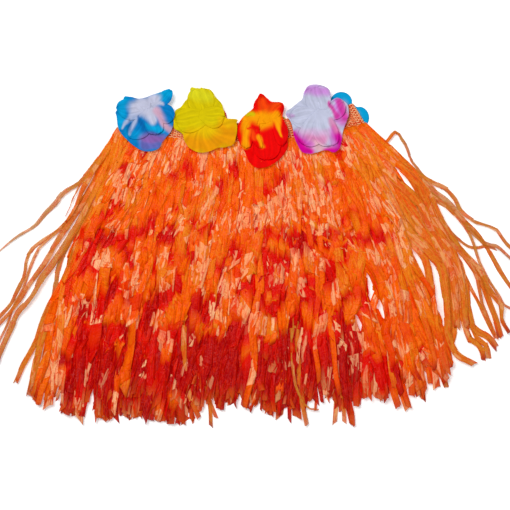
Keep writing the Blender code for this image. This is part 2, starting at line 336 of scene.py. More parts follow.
FILM_ORANGE = srgb(240, 98, 0)
FILM_LIGHT = srgb(230, 124, 18)
FILM_RED = srgb(220, 6, 0)
FILM_DEEP_SHADE = srgb(164, 0, 4)
FILM_LOOSE = srgb(184, 129, 46)
FILM_TIP = srgb(206, 84, 16)
FILM_TAN = srgb(216, 160, 104)
FILM_BROWN = srgb(150, 10, 4)
FILM_HIGHLIGHT = srgb(246, 186, 134)
FILM_DOUBLED = srgb(226, 40, 0)
FILM_CREASE_SHADE = srgb(196, 10, 0)
YARN_ORANGE = srgb(246, 104, 26)
YARN_HIGHLIGHT = srgb(252, 176, 122)
GROUND_RED = srgb(196, 16, 0)
GROUND_ORANGE = srgb(236, 66, 14)


def ribbon_material():
    """Thin shiny plastic film, crumpled along its length and half see-through where it lies alone, with
    painted highlights, painted crease shade and a painted glow.
    """
    material, tree, shader = new_material("ribbon_film", 0.32, 0.09)
    crinkle = crinkled(tree, FILM_CELL)
    # The colour carried on the mesh holds painted red shade as well as the film's own colour
    tone = carried(tree, "dye")["Color"]
    # Painted highlights in pale patches, a redder colour where the film lies double, and painted shade along
    # its creases
    for mask, strength, colour in (
        (crinkle["Highlight_patches"], carried(tree, "glare")["Fac"], FILM_HIGHLIGHT),
        (crinkle["Doubled"], 0.42, FILM_DOUBLED),
        (crinkle["Crease_shade"], 0.55, FILM_CREASE_SHADE),
    ):
        tone = painted(tree, reckoned(tree, "MULTIPLY", mask, strength), tone, colour)
    tree.links.new(scaled_by(tree, tone, FILM_SHADE), shader.inputs["Base Color"])
    set_relief(tree, shader, crinkle["Height"], 1.0, 1.1 * MM)
    # A painted glow, the film's own colour given off as light, stands in for light coming through the film
    # and fills its shadows with that colour
    tree.links.new(tone, shader.inputs["Emission Color"])
    shader.inputs["Emission Strength"].default_value = FILM_GLOW
    alpha = from_to(tree, carried(tree, "see_through")["Fac"], 1.0, FILM_ALONE)
    tree.links.new(alpha, shader.inputs["Alpha"])
    return material


def petal_material():
    """Thin woven polyester, dyed."""
    material, tree, shader = new_material("petal_cloth", 0.7, 0.05)
    place, mottle = mottled(tree, 160.0, 4.0)
    # The colour carried on the mesh holds painted shade along veins and folds as well as the petals' own
    # colours
    tone = scaled_by(tree, carried(tree, "dye")["Color"], from_to(tree, mottle, 0.86, 1.12))
    tree.links.new(tone, shader.inputs["Base Color"])
    weave = add_node(tree, "ShaderNodeGroup", {"Place": place, "Thread": PETAL_THREAD}, node_tree=WEAVE)
    set_relief(tree, shader, weave.outputs["Height"], 0.35, 0.06 * MM)
    return material


def yarn_material():
    """The twisted ribbon that the waistband is knitted from."""
    material, tree, shader = new_material("knit_yarn", 0.36, 0.4)
    crinkle = crinkled(tree, YARN_CELL)
    # Painted highlights in pale patches over the yarn's orange
    tone = painted(tree, crinkle["Highlight_patches"], YARN_ORANGE, YARN_HIGHLIGHT)
    tree.links.new(tone, shader.inputs["Base Color"])
    set_relief(tree, shader, crinkle["Height"], 0.8, 0.3 * MM)
    return material


def ground_material():
    """The band's ground, deep in the knit and in shade."""
    material, tree, shader = new_material("knit_ground", 0.6, 0.3)
    _, mottle = mottled(tree, 420.0, 3.0)
    tone = painted(tree, mottle, GROUND_RED, GROUND_ORANGE)
    tree.links.new(tone, shader.inputs["Base Color"])
    set_relief(tree, shader, mottle, 0.5, 0.4 * MM)
    return material


# Meshes from arrays


def grid_mesh(name, points, material, wrap=False):
    """Sheets of quads, from points with the shape sheets, rows, columns, 3.

    wrap joins the last column to the first.
    """
    index = np.arange(points.size // 3).reshape(points.shape[:3])
    right = np.roll(index, -1, axis=2) if wrap else index[:, :, 1:]
    left = index if wrap else index[:, :, :-1]
    quads = np.stack([left[:, :-1], right[:, :-1], right[:, 1:], left[:, 1:]], axis=-1).reshape(-1, 4)
    mesh = bpy.data.meshes.new(name)
    mesh.vertices.add(index.size)
    mesh.vertices.foreach_set("co", points.reshape(-1).astype(np.float32))
    mesh.loops.add(quads.size)
    mesh.loops.foreach_set("vertex_index", quads.reshape(-1).astype(np.int32))
    mesh.polygons.add(len(quads))
    mesh.polygons.foreach_set("loop_start", np.arange(0, quads.size, 4, dtype=np.int32))
    mesh.update(calc_edges=True)
    mesh.polygons.foreach_set("use_smooth", np.ones(len(quads), dtype=bool))
    mesh.materials.append(material)
    piece = bpy.data.objects.new(name, mesh)
    bpy.context.scene.collection.objects.link(piece)
    return piece, quads


def carry_colour(piece, colours):
    """Stores a linear colour for each point as the attribute that the materials read."""
    dye = piece.data.attributes.new("dye", "FLOAT_COLOR", "POINT")
    flat = np.concatenate([colours.reshape(-1, 3), np.ones((colours.size // 3, 1))], axis=1)
    dye.data.foreach_set("color", flat.reshape(-1).astype(np.float32))


def carry_value(piece, name, values):
    """Stores one number for each point as an attribute."""
    attribute = piece.data.attributes.new(name, "FLOAT", "POINT")
    attribute.data.foreach_set("value", values.reshape(-1).astype(np.float32))


def carry_film_places(piece, places, quads):
    """Stores where each point is on its own film, in metres across and along."""
    film = piece.data.uv_layers.new(name="film")
    corners = places.reshape(-1, 2)[quads.reshape(-1)]
    film.data.foreach_set("uv", corners.reshape(-1).astype(np.float32))


def select_only(piece):
    bpy.ops.object.select_all(action="DESELECT")
    piece.select_set(True)
    bpy.context.view_layer.objects.active = piece


def close_seams(piece, reach):
    """Merges points that are nearer than reach, and turns the faces outwards."""
    select_only(piece)
    bpy.ops.object.mode_set(mode="EDIT")
    bpy.ops.mesh.select_all(action="SELECT")
    bpy.ops.mesh.remove_doubles(threshold=reach)
    bpy.ops.mesh.normals_make_consistent(inside=False)
    bpy.ops.object.mode_set(mode="OBJECT")


def give_wall(piece, wall):
    """Gives open sheets a thin wall, half to each side."""
    shell = piece.modifiers.new("wall", "SOLIDIFY")
    shell.thickness = wall
    shell.offset = 0
    select_only(piece)
    bpy.ops.object.modifier_apply(modifier=shell.name)


# Ribbons

# The fan, as the solids have it: where ribbons end, in millimetres, and how they start, across the band
Fan = namedtuple("Fan", "across tip_x tip_y lean")
FAN = np.array([
    Fan(0.000, -376, -30, -46),
    Fan(0.012, -358, -92, -43),
    Fan(0.026, -336, -142, -41),
    Fan(0.042, -304, -186, -38),
    Fan(0.120, -252, -204, -30),
    Fan(0.300, -148, -212, -13),
    Fan(0.500, -62, -207, 0),
    Fan(0.680, 52, -210, 9),
    Fan(0.800, 158, -208, 19),
    Fan(0.880, 232, -184, 30),
    Fan(0.940, 288, -148, 39),
    Fan(0.975, 330, -98, 47),
    Fan(1.000, 366, -22, 54),
]) * (1, MM, MM, 1)
BOW = 0.42
FAN_LEFT = 0.070
FAN_RIGHT = 0.915

# How the pile stands along the ribbons, as the solids have it, and how wide they spread, in millimetres
Station = namedtuple("Station", "along floor top width")
PILE = np.array([
    Station(0.00, 1.5, 6.4, 6.0),
    Station(0.12, 1.5, 8.6, 8.5),
    Station(0.27, 0.6, 12.6, 11.0),
    Station(0.38, 0.6, 13.4, 12.0),
    Station(0.55, 0.6, 17.5, 12.5),
    Station(0.78, 0.6, 16.0, 11.5),
    Station(1.00, 0.6, 12.5, 8.5),
]) * (1, MM, MM, MM)

Row = namedtuple("Row", "name place count seed drawn_in")
ROWS = (
    Row("fringe_back_lower", 0.125, 105, 11, 1.000),
    Row("fringe_back_upper", 0.375, 105, 23, 0.985),
    Row("fringe_front_lower", 0.625, 120, 37, 0.995),
    Row("fringe_front_upper", 0.900, 135, 41, 0.990),
)
RIBBON_LENGTH = 0.36
FACETS = 19
MARKS = 4
COLUMNS = 4
FILM_WALL = 0.2 * MM
CREASE = 0.0016
NEARBY = 0.004
LOCKS = 40
WIDTHS = (0.4, 0.55, 0.7, 0.8, 0.9, 1.05, 1.3)

# Shares of the ribbons that slide across others, end short, are nearly smooth, or stay bright in the deep
SLIDERS = 0.14
SHORT_ONES = 0.10
SMOOTH_ONES = 0.16
BRIGHT_ONES = 0.06

# How much the ribbons sway, drift, kink, zigzag, roll, fold and are ragged
SWAY = (3.4 * MM, 2.0 * MM)
DRIFT = 8 * MM
TIP_FLICK = 9 * MM
KINK = 1.5 * MM
ZIGZAG = 1.5 * MM
ROLL = 0.36
FOLD = 0.36
JOG = 0.28 * MM
TIP_JOG = 0.7 * MM
LOWEST = 0.3 * MM
SHARP_EDGE = math.radians(26)

# The hem's lower edge in the photograph
HEM = np.array([
    (28, 392), (31, 401), (39, 401), (50, 403), (60, 409), (70, 415), (76, 411), (83, 417), (96, 414),
    (111, 415), (140, 413), (147, 419), (162, 418), (177, 423), (184, 417), (188, 404), (199, 404),
    (203, 399), (219, 400), (228, 409), (235, 402), (255, 404), (262, 412), (270, 415), (283, 416),
    (288, 410), (300, 408), (318, 399), (333, 401), (341, 423), (350, 421), (353, 403), (362, 403),
    (366, 394), (375, 401), (386, 394), (389, 412), (400, 405), (410, 392), (423, 394), (433, 386),
    (440, 378), (445, 366), (456, 358), (470, 345),
])

# Shares of length where a ribbon looks for the hem, and the step that is at its own tip
HEM_STEPS = np.linspace(0.7, 1.25, 56)
STEP_AT_TIP = 30

# Places where the pile sinks and is painted with deep red shade: middle, half size and depth
Deep = namedtuple("Deep", "px py half_x half_y depth")
DEEPS = (
    Deep(106, 240, 30, 9, 0.77),
    Deep(88, 262, 14, 14, 0.6),
    Deep(168, 236, 12, 10, 0.73),
    Deep(145, 228, 16, 8, 0.6),
    Deep(270, 234, 14, 7, 0.69),
    Deep(312, 238, 26, 12, 0.82),
    Deep(356, 239, 14, 8, 0.69),
    Deep(380, 238, 15, 9, 0.73),
    Deep(423, 358, 5, 13, 0.7),
    Deep(404, 333, 6, 8, 0.5),
    Deep(452, 254, 8, 4, 0.43),
    Deep(267, 257, 18, 8, 0.69),
    Deep(264, 285, 24, 9, 0.73),
    Deep(312, 281, 12, 7, 0.6),
    Deep(120, 332, 42, 9, 0.6),
    Deep(330, 338, 40, 10, 0.6),
    Deep(86, 374, 32, 28, 1.0),
    Deep(138, 382, 30, 22, 1.0),
    Deep(210, 370, 36, 33, 1.1),
    Deep(272, 378, 30, 26, 1.05),
    Deep(325, 376, 40, 30, 1.1),
    Deep(115, 392, 26, 12, 1.1),
    Deep(232, 392, 34, 10, 1.1),
    Deep(325, 392, 34, 12, 1.2),
    Deep(378, 374, 24, 22, 0.8),
)

# Places where the ribbons part and the floor shows: middle, length, width and lean
Parting = namedtuple("Parting", "px py length_px push_px lean")
PARTINGS = (
    Parting(406, 180, 12, 8.0, 42),
    Parting(371, 291, 15, 8.0, 17),
    Parting(380, 312, 10, 6.5, 22),
    Parting(359, 322, 9, 5.0, 12),
    Parting(427, 358, 6, 3.5, 12),
    Parting(439, 305, 16, 2.0, 8),
)

# Ribbons that lie apart at the sides and at the hem, placed by their middle lines
Strand = namedtuple("Strand", "copies width_px end_px clear places")
STRANDS = (
    Strand(1, 5.5, 1.2, 1.0, (
        (119, 128), (106, 148), (92, 168), (79, 182), (62, 194), (54, 204), (45, 213), (36, 224),
        (16, 237), (0, 250), (-12, 260),
    )),
    Strand(1, 2.8, 0.8, 0.6, ((119, 129), (104, 152), (88, 174), (79, 186), (74, 196), (70, 206), (65, 216))),
    Strand(1, 6.0, 2.5, 0.2, ((119, 129), (107, 150), (95, 168), (87, 182), (81, 194), (75, 208), (66, 222))),
    Strand(1, 4.2, 3.6, 0.7, (
        (120, 129), (106, 152), (90, 186), (74, 212), (62, 226), (54, 233), (42, 241), (30, 251),
        (26, 261), (24, 274), (16, 292), (10, 304), (0, 315), (-8, 324),
    )),
    Strand(1, 3.4, 3.0, 0.8, (
        (120, 129), (104, 158), (84, 196), (62, 226), (46, 241), (38, 249), (33, 259), (28, 272),
        (22, 290), (14, 304), (6, 326), (-2, 342),
    )),
    Strand(1, 6.0, 4.6, 0.6, (
        (121, 129), (104, 162), (82, 204), (66, 228), (56, 243), (46, 260), (38, 272), (28, 286),
        (18, 301), (8, 314), (-4, 327),
    )),
    Strand(1, 7.0, 5.6, 0.6, (
        (121, 129), (106, 166), (86, 208), (70, 238), (60, 253), (50, 268), (42, 278), (36, 290),
        (29, 301), (18, 312), (10, 330), (2, 348), (-4, 362),
    )),
    Strand(1, 5.5, 4.5, 0.8, (
        (122, 129), (104, 174), (84, 220), (68, 244), (61, 258), (57, 272), (55, 284), (52, 298),
        (46, 312), (42, 326),
    )),
    Strand(2, 7.5, 5.0, 0.3, (
        (124, 129), (106, 170), (88, 215), (76, 244), (70, 266), (60, 288), (49, 306), (42, 322),
        (37, 338), (31, 350), (23, 364), (15, 382),
    )),
    Strand(3, 8.0, 6.0, 0.2, (
        (124, 129), (108, 184), (92, 228), (78, 262), (67, 292), (56, 310), (47, 326), (42, 342),
        (38, 358), (34, 376), (30, 394),
    )),
    Strand(3, 8.0, 6.0, 0.1, (
        (126, 129), (110, 184), (94, 232), (80, 272), (67, 302), (55, 326), (47, 347), (43, 366),
        (38, 385), (35, 402),
    )),
    Strand(1, 3.2, 2.2, 0.9, (
        (364, 124), (377, 136), (385, 142), (391, 137), (395, 132), (398, 133), (402, 139), (406, 145),
        (409, 153), (413, 162), (420, 171), (430, 183), (438, 194),
    )),
    Strand(1, 4.8, 3.5, 0.6, (
        (364, 124), (388, 145), (408, 164), (422, 176), (438, 185), (445, 188), (452, 195), (456, 201),
        (460, 209), (475, 221), (488, 226), (498, 231), (504, 241), (512, 248), (520, 257),
    )),
    Strand(1, 5.5, 3.5, 0.9, (
        (364, 124), (388, 146), (412, 172), (432, 190), (450, 204), (460, 215), (468, 228), (478, 238),
        (487, 245), (496, 246), (506, 254), (516, 264),
    )),
    Strand(1, 5.0, 4.5, 0.5, (
        (363, 124), (392, 150), (416, 178), (438, 201), (448, 206), (456, 213), (466, 222), (478, 234),
        (490, 252), (498, 266), (504, 276), (514, 290),
    )),
    Strand(1, 4.0, 3.0, 0.7, (
        (363, 124), (390, 152), (414, 182), (430, 206), (445, 225), (453, 234), (461, 241), (470, 247),
        (477, 248), (486, 246), (497, 249),
    )),
    Strand(1, 3.5, 3.0, 0.7, (
        (363, 124), (392, 154), (422, 186), (446, 206), (460, 220), (470, 234), (473, 243), (476, 252),
        (480, 264), (486, 275), (493, 286), (500, 297), (505, 305), (513, 309),
    )),
    Strand(2, 5.0, 4.0, 0.4, (
        (362, 124), (388, 146), (408, 166), (424, 184), (432, 200), (440, 218), (452, 238), (462, 252),
        (470, 260), (480, 272), (486, 286), (493, 296), (501, 306), (501, 318), (509, 333),
    )),
    Strand(2, 6.0, 4.5, 0.3, (
        (361, 124), (382, 143), (402, 161), (419, 181), (430, 200), (437, 218), (447, 236), (458, 248),
        (469, 262), (479, 278), (485, 292), (490, 305), (496, 320), (501, 338),
    )),
    Strand(1, 4.5, 3.5, 0.5, (
        (360, 125), (382, 143), (402, 163), (420, 186), (429, 207), (438, 228), (455, 247), (470, 264),
        (477, 280), (481, 296), (485, 310), (490, 323), (497, 339),
    )),
    Strand(1, 6.0, 3.5, 0.3, (
        (359, 125), (380, 143), (400, 165), (416, 188), (427, 210), (437, 232), (450, 250), (461, 268),
        (472, 289), (479, 302), (484, 313), (490, 325), (496, 337),
    )),
    Strand(2, 6.0, 4.5, 0.2, (
        (359, 125), (374, 143), (387, 165), (402, 190), (418, 212), (435, 236), (450, 256), (460, 276),
        (465, 298), (469, 318), (475, 331), (488, 338), (497, 349),
    )),
    Strand(3, 8.5, 5.0, 0.1, (
        (359, 125), (375, 143), (389, 156), (401, 166), (410, 174), (418, 183), (424, 194), (430, 208),
        (437, 226), (446, 244), (457, 264), (462, 286), (464, 306), (467, 326),
    )),
    Strand(3, 8.5, 5.0, 0.1, (
        (355, 125), (369, 143), (383, 164), (396, 181), (410, 193), (422, 207), (430, 224), (439, 243),
        (447, 258), (453, 278), (457, 302), (458, 328),
    )),
    Strand(3, 9.0, 5.5, 0.1, (
        (357, 125), (372, 143), (388, 167), (402, 194), (418, 220), (434, 244), (450, 262), (457, 284),
        (461, 308), (465, 324), (470, 338), (481, 347), (484, 359),
    )),
    Strand(3, 9.5, 5.5, 0.1, (
        (354, 126), (368, 145), (382, 169), (396, 196), (412, 222), (431, 246), (445, 262), (451, 284),
        (454, 310), (455, 332), (450, 350), (446, 364),
    )),
    Strand(3, 9.0, 5.5, 0.1, (
        (351, 126), (364, 147), (378, 173), (392, 201), (408, 229), (428, 250), (441, 267), (446, 290),
        (448, 312), (449, 334), (456, 352), (475, 364),
    )),
    Strand(3, 8.5, 5.5, 0.1, (
        (347, 126), (360, 148), (374, 177), (387, 206), (403, 232), (425, 260), (430, 286), (433, 316),
        (437, 346), (441, 376),
    )),
    Strand(3, 8.5, 5.5, 0.1, (
        (345, 127), (357, 150), (370, 180), (383, 210), (396, 240), (409, 270), (419, 300), (426, 334),
        (438, 362), (447, 387),
    )),
    Strand(3, 9.0, 5.5, 0.0, (
        (342, 127), (352, 152), (365, 184), (378, 216), (390, 246), (402, 276), (411, 306), (418, 338),
        (422, 370), (424, 400),
    )),
    Strand(1, 6.0, 5.5, 0.2, ((200, 140), (192, 220), (184, 320), (190, 396), (194, 406), (199, 418))),
    Strand(1, 4.5, 4.0, 0.3, ((206, 140), (204, 220), (200, 320), (205, 380), (209, 404), (211, 427))),
    Strand(1, 4.5, 4.0, 0.4, ((207, 140), (206, 220), (202, 320), (205, 384), (210, 402), (216, 418))),
    Strand(1, 5.5, 5.0, 0.3, ((280, 140), (288, 220), (296, 320), (301, 394), (304, 410), (307, 425))),
    Strand(1, 6.0, 2.0, 0.7, ((282, 140), (290, 220), (292, 330), (300, 396), (308, 408), (319, 410))),
    Strand(1, 5.5, 5.0, 0.3, ((312, 140), (325, 220), (334, 320), (337, 396), (336, 410), (335, 424))),
    Strand(1, 5.5, 4.5, 0.4, ((314, 140), (328, 220), (339, 320), (343, 396), (344, 410), (345, 423))),
)


def band_edge(edge, across):
    """Plan places along an edge of the band, at shares of its width."""
    along = 2 * across - 1
    return np.stack([
        edge.middle_x + edge.half_width * along + SHIFT[0],
        edge.middle_y + edge.rise * along**2 + edge.tilt * along + SHIFT[1],
    ], axis=-1)


def band_plan(across, depth):
    """Plan places on the band, at a depth in metres below its top edge."""
    top = band_edge(BAND_TOP, across)
    foot = band_edge(BAND_FOOT, across)
    return top + (foot - top) * (np.asarray(depth) / BAND_HEIGHT)[..., None]


def fan_plan(across, along):
    """Plan places on the ribbons from each place across the band, at each share of length."""
    columns = dict(zip(Fan._fields, FAN.T))
    across = np.clip(across, 0, 1)
    root = band_plan(across, np.full(across.shape, BAND_HEIGHT + SEAM_GAP))
    tip = np.stack([
        np.interp(across, columns["across"], columns["tip_x"]) + SHIFT[0],
        np.interp(across, columns["across"], columns["tip_y"]) + SHIFT[1],
    ], axis=-1)
    lean = np.radians(np.interp(across, columns["across"], columns["lean"]))
    length = np.linalg.norm(tip - root, axis=-1, keepdims=True)
    bow = root + np.stack([np.sin(lean), -np.cos(lean)], axis=-1) * length * BOW
    share = along[..., None]
    return mixed(mixed(root, bow, share), mixed(bow, tip, share), share)


def hem_reach(across):
    """How far along its fan line each ribbon meets the hem of the photograph."""
    steps = np.broadcast_to(HEM_STEPS, (len(across), len(HEM_STEPS)))
    places = fan_plan(across[:, None] + 0 * steps, steps)
    px = (places[..., 0] - SHIFT[0]) / PHOTO_PIXEL + PHOTO_MIDDLE
    py = PHOTO_MIDDLE - (places[..., 1] - SHIFT[1]) / PHOTO_PIXEL
    over = py > np.interp(px, HEM[:, 0], HEM[:, 1])
    return HEM_STEPS[np.where(over.any(axis=1), over.argmax(axis=1), STEP_AT_TIP)]


def parted(places):
    """The places, pushed apart where the ribbons part."""
    for parting in PARTINGS:
        lean = math.radians(parting.lean)
        way = np.array([math.sin(lean), -math.cos(lean)])
        beside = np.array([-way[1], way[0]])
        off = places - photo_place(parting.px, parting.py)
        level = np.abs(off @ way)
        # A ribbon goes by the side that it is on where it passes the middle
        passing = (off @ beside)[np.arange(len(places)), level.argmin(axis=1)]
        side = np.where(passing < 0, -1, 1)[:, None]
        sideways = (off @ beside) * side
        reach = parting.length_px * PHOTO_PIXEL
        near = 1 - eased(level, 0.4 * reach, 2.2 * reach)
        push = parting.push_px * PHOTO_PIXEL
        shift = push * np.exp(-np.clip(sideways, 0, None) / (1.6 * push)) - np.clip(sideways, -2 * push, 0)
        places = places + (shift * near * side)[..., None] * beside
    return places


def depth_at(places):
    """How deep the pile is at plan places, from 0 to 1, which sinks the ribbons and sets how much painted red
    shade they get.
    """
    x, y = places[..., 0], places[..., 1]
    spots = (
        np.sin(x / (4.6 * MM) + 1.9 * np.sin(y / (17 * MM)))
        + np.sin(y / (8.5 * MM) + 1.7 * np.sin(x / (13 * MM)) + 2)
        + np.sin((x - 0.6 * y) / (11 * MM) + 4)
    )
    low = eased(-y, -70 * MM, 170 * MM)
    depth = (0.68 + 0.32 * low) * eased(spots + 2.1 * low, 0.45, 1.9)
    # The sides are thin, and get less painted shade
    depth *= 1 - 0.7 * eased(x, 125 * MM, 160 * MM)
    depth *= 1 - 0.8 * eased(-x, 220 * MM, 255 * MM)
    for deep in DEEPS:
        off = places - photo_place(deep.px, deep.py)
        half = np.array([deep.half_x, deep.half_y]) * PHOTO_PIXEL
        spread = np.sum((off / half) ** 2, axis=-1) + 0.3 * spots
        depth = np.maximum(depth, deep.depth * (1 - eased(spread, 0.6, 1.3)))
    return depth


def waves(rng, count, travelled, sizes, shortest, longest):
    """Smooth random curves along each ribbon, the sum of a few sines."""
    total = np.zeros(travelled.shape)
    for size in sizes:
        run = rng.uniform(shortest, longest, (count, 1))
        start = rng.uniform(0, math.tau, (count, 1))
        total += size * np.sin(math.tau * travelled / run + start)
    return total


def facet_stations(rng, count):
    """Shares of length along each ribbon: where every facet starts, is halfway and ends, and its crease."""
    lengths = rng.uniform(0.4, 1.9, (count, FACETS))
    ends = np.cumsum(lengths, axis=1)
    ends /= ends[:, -1:]
    starts = np.concatenate([np.zeros((count, 1)), ends[:, :-1]], axis=1)
    stations = np.stack([starts + CREASE, (starts + ends) / 2, ends - CREASE, ends], axis=-1)
    stations = stations.reshape(count, -1)
    stations[:, 0] = 0
    return stations


def per_facet(values):
    """Each facet's value at its stations."""
    return np.repeat(values, MARKS, axis=1)


def at_ends(values):
    """Values at facets' ends, given to the stations: each start takes the crease before it."""
    before, after = values[:, :-1], values[:, 1:]
    return np.stack([before, (before + after) / 2, after, after], axis=-1).reshape(len(values), -1)


def patchy(places, cell, seed):
    """Smooth random patches over plan places, from 0 to 1. cell is their size in metres."""
    side = 128
    table = np.random.default_rng(seed).uniform(0, 1, (side, side))
    spot = places / np.array(cell)
    corner = np.floor(spot).astype(int)
    part = spot - corner
    part = part * part * (3 - 2 * part)
    left, low = corner[..., 0] % side, corner[..., 1] % side
    right, high = (left + 1) % side, (low + 1) % side
    below = mixed(table[left, low], table[right, low], part[..., 0])
    above = mixed(table[left, high], table[right, high], part[..., 0])
    return mixed(below, above, part[..., 1])


def fan_lines(row, rng, along):
    """Middle lines of a row's ribbons, gathered in locks, and how far down each its length goes."""
    count = len(along)
    across = FAN_LEFT + (FAN_RIGHT - FAN_LEFT) * (np.arange(count) + rng.uniform(0, 1, count)) / count
    across = 0.5 + (across - 0.5) * row.drawn_in
    slide = np.where(rng.uniform(0, 1, count) < SLIDERS, rng.uniform(-0.17, 0.17, count), 0)
    ends = np.clip(across + slide, FAN_LEFT, FAN_RIGHT)
    reach = hem_reach(ends) * (1.004 - 0.075 * rng.uniform(0, 1, count) ** 1.6)
    short = rng.uniform(0, 1, count) < SHORT_ONES
    reach[short] *= rng.uniform(0.70, 0.93, short.sum())
    lock = (np.floor(across * LOCKS) + 0.5 + rng.uniform(-0.25, 0.25, count)) / LOCKS
    pull = rng.uniform(0.1, 0.9, count)
    steps = along * reach[:, None]
    drift = (pull * (lock - across))[:, None] * eased(steps, 0.1, 0.8)
    slide_from, slide_to = rng.uniform((0.0, 0.55), (0.4, 1.0), (count, 2)).T[..., None]
    drift += (ends - across)[:, None] * eased(steps, slide_from, slide_to)
    line = across[:, None] + drift
    place = fan_plan(line, steps)
    _, beside = ahead_and_beside(fan_plan(line, steps + NEARBY) - fan_plan(line, steps - NEARBY))
    sway = waves(rng, count, steps * RIBBON_LENGTH, SWAY, 0.07, 0.3)
    sway += rng.normal(0, DRIFT, (count, 1)) * steps**1.5
    sway += rng.normal(0, TIP_FLICK, (count, 1)) * eased(steps, 0.72, 1.1) ** 1.5
    place = place + (sway * eased(steps, 0.0, 0.25))[..., None] * beside
    return parted(place), steps, across


def strand_lines(row_number, rng):
    """Middle lines, sizes and clearness of the placed ribbons that belong to one row."""
    lines = []
    sizes = []
    turn = 0
    for strand in STRANDS:
        marks = np.array([photo_place(px, py) for px, py in strand.places])
        run = np.concatenate([[0], np.cumsum(np.linalg.norm(np.diff(marks, axis=0), axis=1))])
        for copy in range(strand.copies):
            turn += 1
            if (turn + 3 * copy) % len(ROWS) != row_number:
                continue
            stations = facet_stations(rng, 1)[0]
            line = through_marks(run, marks, np.gradient(marks, run, axis=0), stations * run[-1])
            if copy:
                off = rng.normal(0, 2.4 * MM, 2)
                line = line + off * np.sin(math.pi * stations * 0.75)[:, None]
            lines.append(np.concatenate([line, stations[:, None]], axis=1))
            sizes.append((strand.width_px, strand.end_px, strand.clear, run[-1]))
    return np.array(lines), np.array(sizes)


def ribbon_widths(rng, along, share, sizes):
    """How wide each ribbon is at its stations. Those that lie apart, the last ones, have their own sizes."""
    count = len(share)
    pile = dict(zip(Station._fields, PILE.T))
    width = np.interp(along, pile["along"], pile["width"]) * rng.choice(WIDTHS, (count, 1))
    apart = slice(count - len(sizes), None)
    own = sizes[:, :2] * PHOTO_PIXEL
    width[apart] = mixed(own[:, :1], own[:, 1:], eased(share[apart], 0.45, 1.0))
    width *= per_facet(rng.uniform(0.85, 1.1, (count, FACETS)))
    width[:, MARKS - 1:-1:MARKS] *= rng.uniform(0.8, 1.0, (count, FACETS - 1))
    return width


def ribbon_points(rng, middle, ahead, beside, roll, fold, width, ragged, gathered):
    """The points across each station, rolled, folded, ragged and skewed, and how far each is to the side."""
    count, stations = width.shape
    columns = np.linspace(-1, 1, COLUMNS)
    jog = rng.normal(0, JOG, (count, stations, COLUMNS)) * ragged[..., None]
    raised = fold[..., None] * (np.abs(columns) - 0.5) * width[..., None] * 0.5 + jog
    reach_out = columns * (width / 2)[..., None]
    side = np.concatenate([beside * np.cos(roll)[..., None], np.sin(roll)[..., None]], axis=-1)
    up = np.concatenate([-beside * np.sin(roll)[..., None], np.cos(roll)[..., None]], axis=-1)
    points = middle[:, :, None] + reach_out[..., None] * side[:, :, None] + raised[..., None] * up[:, :, None]
    skew = at_ends(np.clip(rng.normal(0, 0.8, (count, FACETS + 1)), -1.3, 1.3))
    slant = skew[..., None] * reach_out
    slant[:, -1] += rng.normal(0, TIP_JOG, (count, COLUMNS))
    points[..., :2] += (slant * gathered[..., None])[..., None] * ahead[:, :, None]
    points[..., 2] = np.maximum(points[..., 2], LOWEST)
    return points, reach_out


def facet_glare(rng, places, depth, loose):
    """How strongly each facet is painted with a highlight, in patches: less low down, at the left side and in
    the deep.
    """
    size = places.shape[:2]
    off_line = rng.uniform(-2.5 * MM, 2.5 * MM, (*size, 2))
    lit = patchy(places + off_line, (13 * MM, 19 * MM), 3)
    lit += 0.30 * (patchy(places, (60 * MM, 44 * MM), 8) - 0.5) + rng.normal(0, 0.13, size)
    lit -= 0.12 * eased(-places[..., 1], -60 * MM, 180 * MM)
    lit -= 0.07 * eased(-places[..., 0], 145 * MM, 175 * MM)
    lit -= 0.21 * depth + 0.05 * loose
    return eased(lit, 0.48, 0.58) * rng.uniform(0.60, 0.95, size)


